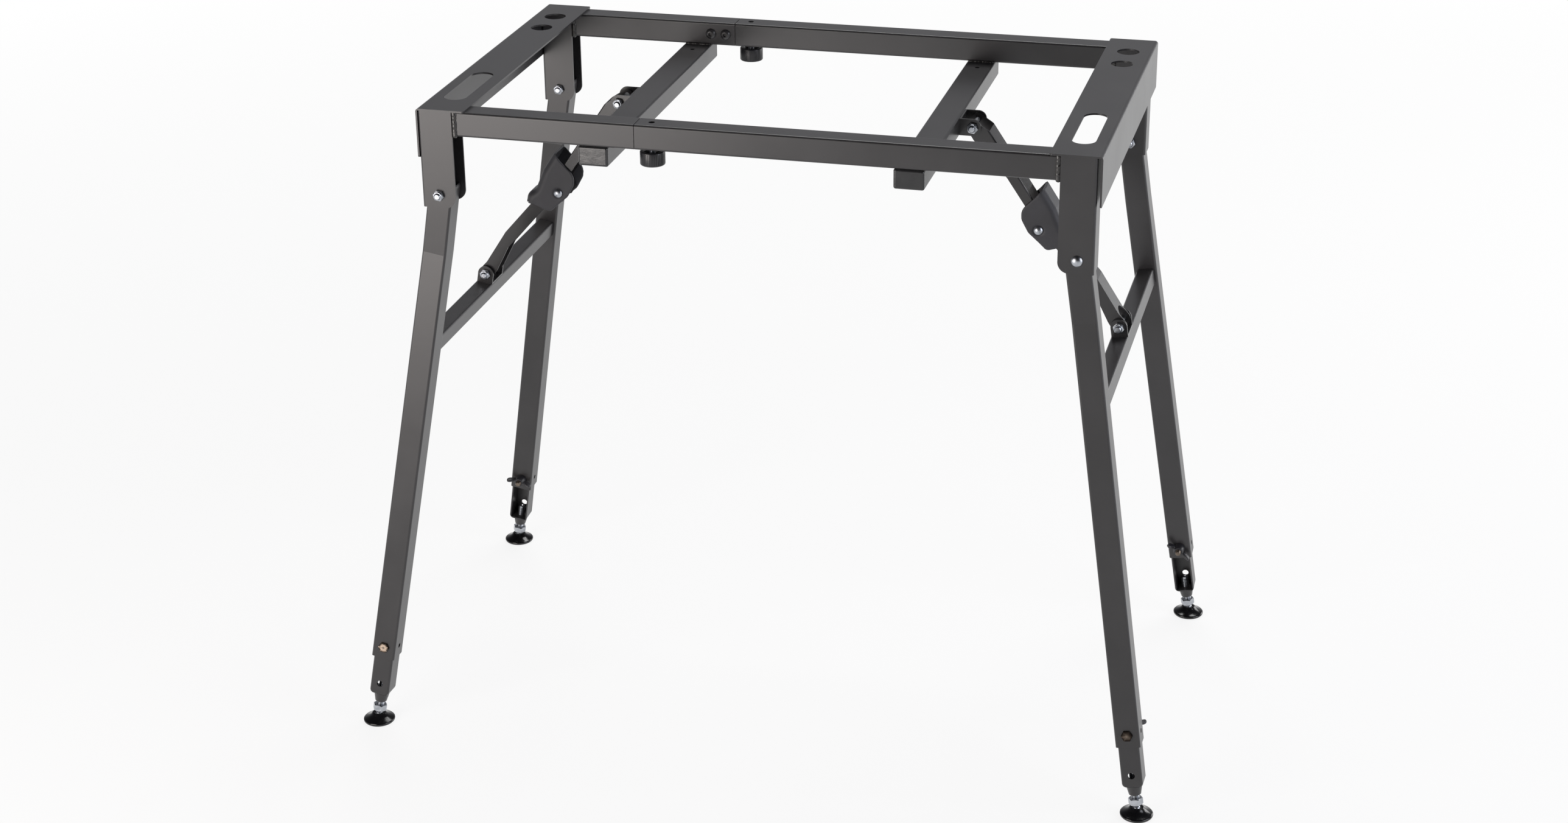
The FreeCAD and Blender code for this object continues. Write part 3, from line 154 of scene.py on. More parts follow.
def smooth(obj, degrees=30):
    only(obj)
    bpy.ops.object.shade_smooth_by_angle(angle=math.radians(degrees))
    return obj


def pick_faces(obj, test):
    """Leaves the object in edit mode with the faces selected whose centre and normal pass."""
    only(obj)
    bpy.ops.object.mode_set(mode="EDIT")
    bpy.ops.mesh.select_mode(type="FACE")
    bpy.ops.mesh.select_all(action="DESELECT")
    bpy.ops.object.mode_set(mode="OBJECT")
    for face in obj.data.polygons:
        face.select = bool(test(face.center, face.normal))
    bpy.ops.object.mode_set(mode="EDIT")


# %% [markdown]
# Three of the tools below stand for machines. One spins half an outline, one presses a plate, and
# one turns down the corners of a hexagon bar. Two pieces are joined or cut with a boolean.

# %% Tools that turn, press and cut
def chain(name, points):
    """A run of edges through the points, drawn by extruding one vertex, left in edit mode."""
    bpy.ops.object.select_all(action="DESELECT")
    bpy.ops.mesh.primitive_plane_add(size=1)
    obj = bpy.context.object
    obj.name = name
    bpy.ops.object.mode_set(mode="EDIT")
    bpy.ops.mesh.select_mode(type="VERT")
    bpy.ops.mesh.merge(type="CENTER")
    here = Vector((0, 0, 0))
    for index, point in enumerate(points):
        step = Vector(point) - here
        if index == 0:
            bpy.ops.transform.translate(value=step)
        else:
            bpy.ops.mesh.extrude_region_move(TRANSFORM_OT_translate={"value": step})
        here = Vector(point)
    bpy.ops.mesh.select_all(action="SELECT")
    return obj


def turned(name, outline, steps=48):
    """Spins half an outline of (radius, height) points about the Z axis."""
    obj = chain(name, [(radius, 0, height) for radius, height in outline])
    bpy.ops.mesh.spin(steps=steps, angle=math.tau, center=(0, 0, 0), axis=(0, 0, 1))
    bpy.ops.mesh.select_all(action="SELECT")
    bpy.ops.mesh.remove_doubles(threshold=0.001)
    bpy.ops.mesh.normals_make_consistent(inside=False)
    bpy.ops.object.mode_set(mode="OBJECT")
    return obj


def pressed(name, outline, thickness, rounding=0):
    """A plate cut to an outline of (x, z) points, with its thickness centred on y = 0."""
    obj = chain(name, [(x, -thickness / 2, z) for x, z in outline])
    bpy.ops.mesh.edge_face_add()
    if rounding:
        bpy.ops.mesh.bevel(offset=rounding, segments=6, affect="VERTICES", clamp_overlap=True)
        bpy.ops.mesh.select_all(action="SELECT")
    bpy.ops.mesh.extrude_region_move(TRANSFORM_OT_translate={"value": (0, thickness, 0)})
    bpy.ops.mesh.select_all(action="SELECT")
    bpy.ops.mesh.normals_make_consistent(inside=False)
    bpy.ops.object.mode_set(mode="OBJECT")
    return obj


def combine(base, tool, operation):
    """Adds, subtracts or intersects a second piece, and removes it."""
    modifier = base.modifiers.new(operation, "BOOLEAN")
    modifier.operation = operation
    modifier.solver = "EXACT"
    modifier.object = tool
    apply_modifiers(base)
    bpy.data.objects.remove(tool, do_unlink=True)
    return base


def hexagon(name, flats, low, high, chamfered=True):
    """A hexagon bar whose corners can be turned down at 30 degrees, as on bought nuts."""
    radius = flats / math.sqrt(3)
    bpy.ops.mesh.primitive_cylinder_add(
        vertices=6, radius=radius, depth=high - low, location=(0, 0, (low + high) / 2)
    )
    bar = bpy.context.object
    bar.name = name
    only(bar)
    bpy.ops.object.transform_apply(location=True, rotation=True, scale=True)
    # The turned face is a little smaller than the flats, and the blank just clears the corners
    face, corner = flats * 0.475, radius * 1.01
    drop = (corner - face) * math.tan(math.radians(30))
    rim = [(corner, high), (corner, low)]
    if chamfered:
        rim = [(face, high), (corner, high - drop), (corner, low + drop), (face, low)]
    blank = turned("turned_blank", [(0, high), *rim, (0, low)], 96)
    return combine(bar, blank, "INTERSECT")


def thread(radius, low, high, pitch, depth):
    """The outline of a screw thread. Rings stand in for the helix, which looks the same here."""
    outline = []
    height = low
    while height + pitch <= high + depth:
        outline += [(radius - depth, height), (radius, height + pitch * 0.42)]
        outline += [(radius, height + pitch * 0.58)]
        height += pitch
    return [*outline, (radius - depth, height)]


def dressed(obj, material, slot, body, *replaced):
    """Gives a finished piece its material and the body it rides on, and hides the CAD nodes that it replaces. The
    slot is not used.
    """
    if material is not None:
        obj.data.materials.clear()
        obj.data.materials.append(material)
    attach(obj, body)
    if replaced:
        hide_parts(*replaced)
    print(obj.name, len(obj.data.polygons), "faces on", body)
    return obj


# %% [markdown]
# ## Materials
# Little on this stand is bright: nearly all of it is steel under a thin black coat, so its look is
# in how sharply and how strongly each surface mirrors the studio. Each finish below starts from
# the real coat, and its colours are written as the sRGB values that a colour picker shows. A
# picture of each surface would do too, but two noises on Object coordinates need no file, have
# their scales in real millimetres and stay sharp close by. The coarse one lets the colour and the
# roughness drift, and the fine one bumps the skin.

# %% Tools that build materials
def linear(hex_colour):
    """The linear RGBA of an sRGB hex colour."""
    parts = [int(hex_colour[i:i + 2], 16) / 255 for i in (1, 3, 5)]
    parts = [c / 12.92 if c <= 0.04045 else ((c + 0.055) / 1.055) ** 2.4 for c in parts]
    return (*parts, 1.0)


def new_material(name):
    material = bpy.data.materials.new(name)
    material.use_nodes = True
    material.node_tree.nodes.clear()
    return material, material.node_tree


def add(tree, kind, settings=None, *sources, **links):
    """Adds one node with its settings, and links its inputs in their order or by their names.

    The setting called stops gives a colour ramp its (place, hex colour) stops."""
    node = tree.nodes.new(kind)
    for key, value in (settings or {}).items():
        if key == "stops":
            elements = node.color_ramp.elements
            while len(elements) < len(value):
                elements.new(0.5)
            for element, (place, colour) in zip(elements, value):
                element.position = place
                element.color = linear(colour)
        elif hasattr(node, key):
            setattr(node, key, value)
        else:
            node.inputs[key.replace("_", " ")].default_value = value
    for socket, source in zip(node.inputs, sources):
        tree.links.new(source, socket)
    for key, source in links.items():
        tree.links.new(source, node.inputs[key.replace("_", " ")])
    return node


def finish(name, colours, gloss, coarse_mm, grain_mm, depth_mm,
           colour_range=(0.3, 0.7), gloss_range=(0.2, 0.8), detail=2.0, **shading):
    """A coat, a moulded skin or a metal.

    Its colour and its roughness drift between their two values over coarse_mm, and its skin has
    bumps grain_mm across and depth_mm deep. The two ranges are the parts of the drift over which
    colour and roughness change, and detail is how fine the drift gets."""
    material, tree = new_material(name)
    low, high = gloss_range
    place = add(tree, "ShaderNodeTexCoord").outputs["Object"]
    drift = add(
        tree,
        "ShaderNodeTexNoise",
        {"Scale": 1 / (coarse_mm * MM), "Detail": detail, "Roughness": 0.5},
        Vector=place,
    ).outputs["Fac"]
    grain = add(
        tree,
        "ShaderNodeTexNoise",
        {"Scale": 1 / (grain_mm * MM), "Detail": 2.0, "Roughness": 0.6},
        Vector=place,
    ).outputs["Fac"]
    colour = add(tree, "ShaderNodeValToRGB", {"stops": list(zip(colour_range, colours))}, drift)
    rough = add(
        tree,
        "ShaderNodeMapRange",
        {"From_Min": low, "From_Max": high, "To_Min": gloss[0], "To_Max": gloss[1]},
        Value=drift,
    )
    bump = add(tree, "ShaderNodeBump", {"Strength": 1.0, "Distance": depth_mm * MM}, Height=grain)
    shader = add(
        tree,
        "ShaderNodeBsdfPrincipled",
        shading,
        Base_Color=colour.outputs["Color"],
        Roughness=rough.outputs["Result"],
        Normal=bump.outputs["Normal"],
    )
    add(tree, "ShaderNodeOutputMaterial", {}, shader.outputs["BSDF"])
    return material


# %% [markdown]
# The frame has a smooth satin coat of black paint, dipped or sprayed and baked. Seen close it is
# never quite even: it has a faint orange peel and lies a little thicker in places, so the mirror
# image of the studio breaks up softly. The braces have the same coat with more gloss. The release
# grips are moulded with a fine spark-eroded texture, and the knobs, caps and foot discs are plain
# glossy mouldings with slight sink marks.
#
# Orange peel and sink marks are drawn at their real size. The grain of the grips, the ABS, the
# nylon rings, the plating and the casting is really a few tenths of a millimetre or less, which is
# too fine to show here, so it is drawn as coarse as it needs to show. The denoiser treats a surface
# whose roughness is under 0.274 as a mirror, and where a coat's roughness drifts across that value
# it draws a thin line. So the two gloss values of a coat lie on one side of it.

# %% Finishes of the painted steel
# A wide part of the drift, so that a large painted face changes its colour gently
SLOW_DRIFT = (0.2, 0.8)
# Baked enamel on smooth tube: soft, slightly uneven mirror images
satin_black_paint = finish(
    "satin_black_paint", ("#2b2a2b", "#373637"), (0.285, 0.335),
    coarse_mm=60, grain_mm=1.6, depth_mm=0.010, colour_range=SLOW_DRIFT,
)
# The braces' enamel: the same coat with clearer mirror images
gloss_black_paint = finish(
    "gloss_black_paint", ("#252425", "#313031"), (0.20, 0.265),
    coarse_mm=40, grain_mm=1.4, depth_mm=0.012, colour_range=SLOW_DRIFT,
)
# Enamel that has pooled over the beads: many small highlights
weld_paint = finish(
    "painted_weld_bead", ("#232222", "#353331"), (0.16, 0.26),
    coarse_mm=6, grain_mm=1.2, depth_mm=0.05,
)
# A rough casting under a thin coat: a broad dull sheen
dark_cast = finish(
    "painted_cast_zinc", ("#242327", "#303034"), (0.30, 0.42),
    coarse_mm=8, grain_mm=1.2, depth_mm=0.04,
)

# %% Finishes of the plastics
# Polyethylene from a polished mould: glossy, with shallow sink marks
moulded_cap = finish(
    "glossy_moulded_polyethylene", ("#242425", "#2b2b2c"), (0.14, 0.24),
    coarse_mm=14, grain_mm=7.0, depth_mm=0.12,
)
# Nylon from a spark-eroded mould: matt, a little lighter than the paint
textured_grip = finish(
    "spark_textured_nylon", ("#333336", "#3b3b3f"), (0.46, 0.56),
    coarse_mm=30, grain_mm=0.7, depth_mm=0.05, Specular_IOR_Level=0.35,
)
# ABS: an even satin sheen that shows each rib
ribbed_knob = finish(
    "ribbed_abs", ("#1f1f22", "#27272a"), (0.285, 0.34),
    coarse_mm=10, grain_mm=1.0, depth_mm=0.01,
)
# Polished polyamide: nearly black, with sharp highlights
foot_gloss = finish(
    "polished_polyamide", ("#0d0d0e", "#141416"), (0.14, 0.20),
    coarse_mm=20, grain_mm=5.0, depth_mm=0.02,
)
# The plain nylon of a locking ring: a blue-grey spot in the nut
nylon = finish(
    "nylon_locking_ring", ("#5d6470", "#6e7580"), (0.35, 0.45),
    coarse_mm=4, grain_mm=0.8, depth_mm=0.01,
)

# %% Finishes of the bright and blackened steel
METAL = {"gloss_range": (0.3, 0.7), "detail": 5.0, "Metallic": 1.0}
# Zinc plate: bright, faintly blue, a little cloudy
zinc = finish(
    "bright_zinc_plate", ("#9ea2a8", "#bdc0c5"), (0.28, 0.36),
    coarse_mm=5, grain_mm=0.6, depth_mm=0.01, **METAL,
)
# Black oxide that has worn to a bronze brown on the height screws
oxide = finish(
    "bronze_black_oxide", ("#63594f", "#7b7066"), (0.30, 0.42),
    coarse_mm=4, grain_mm=0.6, depth_mm=0.02, **METAL,
)
print(len(bpy.data.materials), "materials")

# %% [markdown]
# ## Finishes on the CAD pieces
# The tubes, plates, brackets, legs and links already have their real shapes, folds and holes, so
# they are kept as they are. Each gets the coat that the real piece has.

# %% Paint the carried-over pieces
SLOT_FINISH = {
    "frame_paint": satin_black_paint,
    "brace_paint": gloss_black_paint,
    "black_plastic_caps": moulded_cap,
    "grip_plastic": textured_grip,
    "knob_plastic": ribbed_knob,
    "foot_plastic": foot_gloss,
    "zinc_steel": zinc,
    "black_fasteners": oxide,
}
slot_of = {row["node"]: row["material_slot"] for row in frame["record"]["subparts"]}
for name, obj in nodes.items():
    obj.data.materials.clear()
    obj.data.materials.append(SLOT_FINISH[slot_of[name]])
print("finishes:", sorted(set(slot_of.values())))

# %% [markdown]
# ## Bolts and locking nuts of the hinges
# Every hinge is an M6 bolt with a low domed head and a zinc-plated locking nut. Such a nut is a
# hexagon with a round collar, and the collar holds a nylon ring round the bolt's end. A chamfer
# of 30 degrees runs round the hexagon's corners. It comes from turning, so it is made here by
# intersecting the hexagon with a turned blank, which gives the curved edge that a plain bevel
# can't.

# %% Model one bolt head, one nut and one bolt end
SCREW_RADIUS = 3.0
NUT_FLATS = 10.0
HEX_HEIGHT = 3.3


def domed_head(name):
    """A low domed head that stands on z = 0 over its shank."""
    outline = [
        (0, 3.40), (1.2, 3.32), (2.4, 3.05), (3.5, 2.60), (4.5, 1.95), (5.2, 1.25),
        (5.6, 0.70), (5.7, 0.30), (5.6, 0), (0, 0),
    ]
    return smooth(turned(name, outline), 40)


def locking_nut(name):
    """A nut that stands on z = 0, with its collar and the bolt's end above."""
    bar = hexagon(name, NUT_FLATS, 0, HEX_HEIGHT)
    collar = turned("collar", [
        (3.7, HEX_HEIGHT - 0.4), (4.6, HEX_HEIGHT - 0.4), (4.6, 4.1), (4.45, 4.6), (4.1, 4.95),
        (3.7, 5.0), (3.7, HEX_HEIGHT - 0.4),
    ])
    bolt_end = turned("bolt_end", [
        (0, 6.6), (2.3, 6.6), (2.85, 6.1), *reversed(thread(SCREW_RADIUS, 3.6, 5.9, 1.0, 0.35)),
        (0, 3.5),
    ], 32)
    for piece in (bar, collar, bolt_end):
        piece.data.materials.append(zinc)
    ring = turned("ring", [
        (2.7, 4.6), (3.2, 4.75), (3.75, 4.6), (3.75, 4.0), (2.7, 4.0), (2.7, 4.6),
    ])
    ring.data.materials.append(nylon)
    for piece in (bar, collar, bolt_end, ring):
        smooth(piece, 30)
    return joined(name, [bar, collar, bolt_end, ring])


# The way one of a nut's corners points, as the nuts happened to stop
NUT_TURN = RIGHT + UP * 0.35
head_master = domed_head("head_master")
head_master.data.materials.append(zinc)
nut_master = locking_nut("nut_master")
print("nut:", len(nut_master.data.polygons), "faces")


def shank(name, low, high, radius=SCREW_RADIUS):
    """A plain length of bolt between its head and its nut."""
    piece = smooth(turned(name, [(0, high), (radius, high), (radius, low), (0, low)], 32))
    piece.data.materials.append(zinc)
    return piece


def hinge_bolt(name, seat, toward, grip, gap=None):
    """Head, shank and nut. The head's seat is given, and the nut is a grip's length behind it.

    With a gap, that length in the middle of the shank is left out."""
    nut_seat = seat - toward * grip * MM
    lengths = [(-grip, 0)] if gap is None else [(-(grip - gap) / 2, 0), (-grip, -(grip + gap) / 2)]
    parts = [settle(copy_of(head_master, name), seat, toward, RIGHT)]
    for low, high in lengths:
        parts.append(settle(shank("shank", low, high), seat, toward, RIGHT))
    parts.append(settle(copy_of(nut_master, "nut"), nut_seat, -toward, NUT_TURN))
    return parts


# %% [markdown]
# The bolts sit where the CAD model has them: on each leg's pivot, through both walls of the
# bracket, and through the ears of the brace's clevises. One bolt has its head in front, and the
# others show their nuts. The left upper clevis bolt is in two ends, because the left brace's upper
# link leaves it while the leg folds. The middle that is left out is hidden in the link.

# %% Place the hinge bolts
def joint_line(name):
    joint = joints[name]
    return Vector(joint["pos_m"]), Vector(joint["axis"]).normalized()


def box_of(node):
    low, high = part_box(node)
    return Vector(low), Vector(high)


def across(node):
    """Where the node starts and ends from front to back."""
    low, high = box_of(node)
    return low.y, high.y


# Where the upper links meet the crossbars' clevises. The left place is written out, because the
# joint there is the one that was opened.
upper_pin = {
    "left": Vector((-0.1790505, -0.008, 0.645)),
    "right": joint_line("right_upper_link_turn")[0],
}
# Two thicknesses of the clevis's sheet
CLEVIS_WALLS = 3.6
for side in ("left", "right"):
    pivot, _ = joint_line(f"{side}_leg_fold")
    parts = []
    for row in ("front", "rear"):
        front_y, rear_y = across(f"{side}_{row}_bracket")
        toward = -BACK if (side, row) == ("right", "front") else BACK
        seat_y = front_y if toward.y < 0 else rear_y
        seat = Vector((pivot.x, seat_y, pivot.z))
        parts += hinge_bolt("pivot", seat, toward, (rear_y - front_y) / MM)
    front_y, rear_y = across(f"{side}_upper_clevis")
    seat = Vector((upper_pin[side].x, rear_y, upper_pin[side].z))
    width = (rear_y - front_y) / MM
    gap = width - CLEVIS_WALLS if side == "left" else None
    parts += hinge_bolt("clevis", seat, BACK, width, gap)
    bolts = joined(f"{side}_hinge_fasteners", parts)
    dressed(bolts, None, "zinc_steel", f"{side}_half", f"{side}_pivot_bolts")

    front_y, rear_y = across(f"{side}_lower_clevis")
    foot, _ = joint_line(f"{side}_lower_link_turn")
    parts = hinge_bolt("lower", Vector((foot.x, rear_y, foot.z)), BACK, (rear_y - front_y) / MM)
    bolts = joined(f"{side}_lower_clevis_fastener", parts)
    dressed(bolts, None, "zinc_steel", f"{side}_leg_frame", f"{side}_lower_clevis_bolt")

# %% [markdown]
# ## Rivets of the grips
# A domed rivet goes through each release grip and both links at the knee. Only its two heads show,
# sunk a little into a round seat. A flattened ball could pass for a head, but one that is spun from
# half its outline has the crisp rim that catches the light. The right rivet is in two ends, because
# the lower link leaves it while the leg folds.

# %% Model and place the rivets
rivet_master = smooth(turned("rivet_master", [
    (0, 2.60), (1.0, 2.52), (2.0, 2.25), (3.0, 1.80), (3.9, 1.15), (4.4, 0.60), (4.7, 0.25),
    (4.75, -0.8), (0, -0.8),
]), 40)
rivet_master.data.materials.append(zinc)
RIVET_RADIUS = 2.5
# How far the two ends of the right rivet reach in, through the grip's cheek and the upper link
RIVET_END = 4.3
# The right knee is the place of an opened joint, so it is written out too
knees = {
    "left": joint_line("left_upper_link_turn")[0],
    "right": Vector((0.2586400, -0.008, 0.542385)),
}
for side in ("left", "right"):
    front_y, rear_y = across(f"{side}_release_grip")
    width = (rear_y - front_y) / MM
    knee = knees[side]
    front = Vector((knee.x, front_y, knee.z))
    rear = Vector((knee.x, rear_y, knee.z))
    parts = [
        settle(copy_of(rivet_master, "rivet"), front, -BACK, RIGHT),
        settle(copy_of(rivet_master, "rivet"), rear, BACK, RIGHT),
    ]
    ends = [(0, width)] if side == "left" else [(0, RIVET_END), (width - RIVET_END, width)]
    for low, high in ends:
        parts.append(settle(shank("shank", low, high, RIVET_RADIUS), front, BACK, RIGHT))
    rivet = joined(f"{side}_knee_rivet", parts)
    dressed(rivet, None, "zinc_steel", f"{side}_upper_arm", f"{side}_grip_rivet")

# %% [markdown]
# ## Release grips
# The grips are moulded in nylon, so every corner and edge of theirs is rounded, also the rims
# that a draughtsman would leave sharp. The CAD solid has the right walls, openings and pin hole.
# A copy of it is merged, because its triangles are loose, and then cut with a plate whose outline
# has round corners. Each rivet head gets a round seat, and small webs stiffen the heel's inner
# corners, where its wall is thin. The result is remeshed into fine even squares, and smoothing then
# rounds its edges by about a millimetre.

# %% Outlines of the grip
# Both are in millimetres, along the upper link from the knee and out from it
GRIP_OUTLINE = [
    (34.5, 27.7), (10.0, 27.3), (-5.9, 24.2), (-13.3, 22.6), (-23.2, 30.0), (-36.0, 24.5),
    (-30.5, 14.0), (-25.0, 4.1), (-22.4, -4.2), (-11.7, -6.6), (3.1, -10.6), (18.3, -9.1),
    (24.8, -5.0), (27.9, 0.0), (30.7, 15.2),
]
GRIP_CORNER = 2.6
WEB_OUTLINE = [
    (-14.0, 12.0), (-19.0, 12.0), (-26.6, 15.5), (-30.2, 20.6), (-22.8, 24.4), (-18.0, 22.2),
    (-14.0, 20.2),
]
WEB_SHEET = 2.0
# From the middle of the grip to the middle of a web
WEB_PLACE = 13.9
# The round seat of a rivet's head, which is sunk 0.9 mm into the cheek
SEAT_OUTLINE = [(0, 2), (5.8, 2), (5.8, -0.9), (0, -0.9)]
# Wider than the grip, so that the cutter passes through both cheeks
CUTTER_WIDTH = 40
# The size of the squares of the new mesh
GRIP_MESH = 0.6
GRIP_SMOOTHING = 14

# %% Round the grips
def merge_triangles(obj):
    only(obj)
    bpy.ops.object.mode_set(mode="EDIT")
    bpy.ops.mesh.select_all(action="SELECT")
    bpy.ops.mesh.remove_doubles(threshold=0.00001)
    bpy.ops.object.mode_set(mode="OBJECT")


def reskin(obj, mesh_mm, passes):
    """Remeshes a piece into even squares and smooths its edges."""
    remesh = obj.modifiers.new("Skin", "REMESH")
    remesh.mode = "VOXEL"
    remesh.voxel_size = mesh_mm * MM
    soften = obj.modifiers.new("Soften", "SMOOTH")
    soften.iterations = passes
    soften.factor = 0.5
    apply_modifiers(obj)
    return smooth(obj, 60)


for side in ("left", "right"):
    grip = copy_of(nodes[f"{side}_release_grip"], f"{side}_moulded_grip")
    merge_triangles(grip)
    knee = knees[side]
    link = (upper_pin[side] - knee).normalized()
    out_dir = Vector((-link.z, 0, link.x)) if side == "left" else Vector((link.z, 0, -link.x))
    cutter = settle(
        pressed("cutter", GRIP_OUTLINE, CUTTER_WIDTH, GRIP_CORNER), knee, out_dir, link
    )
    combine(grip, cutter, "INTERSECT")
    front_y, rear_y = across(f"{side}_release_grip")
    for face_y, outward in ((front_y, -BACK), (rear_y, BACK)):
        seat = turned("seat", SEAT_OUTLINE)
        settle(seat, Vector((knee.x, face_y, knee.z)), outward, RIGHT)
        combine(grip, seat, "DIFFERENCE")
    webs = []
    for hand in (1, -1):
        web = pressed("web", WEB_OUTLINE, WEB_SHEET)
        webs.append(settle(web, knee + BACK * WEB_PLACE * MM * hand, out_dir, link))
    grip = reskin(joined(grip.name, [grip, *webs]), GRIP_MESH, GRIP_SMOOTHING)
    dressed(grip, textured_grip, "grip_plastic", f"{side}_upper_arm", f"{side}_release_grip")

# %% [markdown]
# ## Screws of the inner tubes
# Two button-head screws hold each inner tube in its left tube. They are black, and their heads have
# a hexagon socket. The socket is cut with a boolean, as the real one is punched.

# %% Model and place the button-head screws
button = turned("button_master", [
    (0, 3.40), (2.6, 3.40), (3.3, 3.22), (4.3, 2.60), (5.1, 1.70), (5.6, 0.80), (5.7, 0.20),
    (5.6, 0), (2.9, 0), (2.9, -5.0), (0, -5.0),
])
bpy.ops.mesh.primitive_cylinder_add(vertices=6, radius=2.3, depth=4.0, location=(0, 0, 3.4))
socket = bpy.context.object
only(socket)
bpy.ops.object.transform_apply(location=True, rotation=True, scale=True)
button = smooth(combine(button, socket, "DIFFERENCE"), 30)
button.data.materials.append(satin_black_paint)
SCREW_PLACES = (-0.1355505, -0.1191505)
screws = []
for row, inward in (("front", BACK), ("rear", -BACK)):
    low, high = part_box(f"left_{row}_tube")
    face_y = high[1] if inward.y > 0 else low[1]
    for spot in SCREW_PLACES:
        seat = Vector((spot, face_y, (low[2] + high[2]) / 2))
        screws.append(settle(copy_of(button, "button"), seat, inward, RIGHT))
screws = joined("inner_tube_button_screws", screws)
dressed(screws, None, "black_fasteners", "left_half", "inner_tube_screws")
bpy.data.objects.remove(button, do_unlink=True)

# %% [markdown]
# ## Clamp knobs
# The right half of the top is clamped at its width by two knobs under the tubes. Each is a cup of
# black plastic with fine ribs round it, and a zinc screw stands in its middle. The cup starts as
# a cylinder with three side faces to a rib. Every third one is inset and pushed in, and the top is
# inset three times and pushed down. The grooves could be cut with booleans, but insets give the
# same ribs at once and keep the faces few.

# %% Model the knob
KNOB_RIBS = 44
KNOB_RADIUS = 12.3
KNOB_HEIGHT = 14.0
FACES_PER_RIB = 3
GROOVE_DEPTH = 0.45
CUP_RIM = 1.4
CUP_DEPTH = 6.5


def ribbed_cup(name):
    bpy.ops.mesh.primitive_cylinder_add(
        vertices=KNOB_RIBS * FACES_PER_RIB,
        radius=KNOB_RADIUS,
        depth=KNOB_HEIGHT,
        end_fill_type="NGON",
        location=(0, 0, -KNOB_HEIGHT / 2),
    )
    cup = bpy.context.object
    cup.name = name
    only(cup)
    bpy.ops.object.transform_apply(location=True, rotation=True, scale=True)
    pick_faces(cup, lambda centre, normal: abs(normal.z) > 0.9)
    bpy.ops.mesh.bevel(offset=1.2, segments=3, affect="EDGES")
    step = math.tau / (KNOB_RIBS * FACES_PER_RIB)

    def in_groove(centre, normal):
        if abs(normal.z) > 0.02:
            return False
        index = int(math.floor(math.atan2(centre.y, centre.x) % math.tau / step))
        return index % FACES_PER_RIB == 0

    pick_faces(cup, in_groove)
    bpy.ops.mesh.inset(thickness=0.08, depth=-GROOVE_DEPTH, use_individual=True)
    pick_faces(cup, lambda centre, normal: normal.z > 0.999)
    bpy.ops.mesh.inset(thickness=CUP_RIM)
    bpy.ops.mesh.inset(thickness=0.5, depth=-0.5)
    bpy.ops.mesh.inset(thickness=1.2, depth=-CUP_DEPTH)
    bpy.ops.object.mode_set(mode="OBJECT")
    return smooth(cup, 35)


# %% Place the knobs
knob_screw_outline = [
    (0, 4.7), (2.2, 4.7), *reversed(thread(SCREW_RADIUS, -7.2, 3.9, 1.0, 0.5)), (0, -7.4),
]
for row in ("front", "rear"):
    place, _ = joint_line(f"{row}_knob_turn")
    cup = ribbed_cup(f"{row}_knob_cup")
    cup.data.materials.append(ribbed_knob)
    screw = smooth(turned("screw", knob_screw_outline, 32), 30)
    screw.data.materials.append(zinc)
    knob = joined(f"{row}_ribbed_knob", [cup, screw])
    settle(knob, place, UP, RIGHT)
    dressed(knob, None, "knob_plastic", f"{row}_knob", f"{row}_clamp_knob")

# %% [markdown]
# ## Height screws and wing nuts
# Each leg is set to its height by a screw through it. The hexagon head lies in a hexagon hole in
# the leg's outer wall, so it can't turn, and a wing nut holds it on the inner side. The bolt has a
# brownish black-oxide finish and the wing nut is a dark casting. Its hub is spun. Its ears are
# flat, so each is pressed from an outline, and a bevel gives the soft edges of a casting, which is
# simpler than sculpting them.

# %% Model the height screw and the wing nut
def height_screw(name):
    """Runs outwards along z. z = 0 is where its wing nut turns, 4.92 mm inside the leg's face."""
    head = hexagon(name, NUT_FLATS, 28.18, 32.18, chamfered=False)
    bevel = head.modifiers.new("Bevel", "BEVEL")
    bevel.width = 0.45
    bevel.segments = 3
    apply_modifiers(head)
    body = turned("height_shank", [
        (0, 28.4), (SCREW_RADIUS, 28.4), (SCREW_RADIUS, 3.0),
        *reversed(thread(SCREW_RADIUS, -8.1, 2.4, 1.0, 0.4)), (2.2, -8.6), (0, -8.6),
    ], 32)
    head.data.materials.append(oxide)
    body.data.materials.append(oxide)
    return joined(name, [smooth(head, 25), smooth(body, 30)])


def wing_nut(name):
    """A cast hub with two ears that lean outwards, standing on z = 0."""
    hub = turned("hub", [
        (3.1, 0), (6.3, 0), (6.5, 0.5), (6.5, 1.6), (6.2, 3.4), (5.6, 6.2), (5.1, 8.8), (4.8, 9.4),
        (3.5, 9.5), (3.1, 9.1), (3.1, 0),
    ])
    parts = [hub]
    for hand in (1, -1):
        outline = [
            (3.4, 1.6), (6.6, 1.5), (10.0, 3.1), (13.4, 5.2), (14.7, 7.0), (15.0, 9.4),
            (14.3, 11.4), (12.4, 12.0), (10.2, 11.2), (8.4, 9.2), (6.4, 7.4), (3.4, 7.2),
        ]
        ear = pressed("ear", [(x * hand, z) for x, z in outline], 3.2)
        bevel = ear.modifiers.new("Bevel", "BEVEL")
        bevel.width = 1.0
        bevel.segments = 3
        bevel.limit_method = "ANGLE"
        bevel.angle_limit = math.radians(50)
        apply_modifiers(ear)
        parts.append(ear)
    for part in parts:
        part.data.materials.append(dark_cast)
        smooth(part, 35)
    return joined(name, parts)


# From the point where a wing nut turns to its seat on the leg's inner face
NUT_SEAT = 4.92
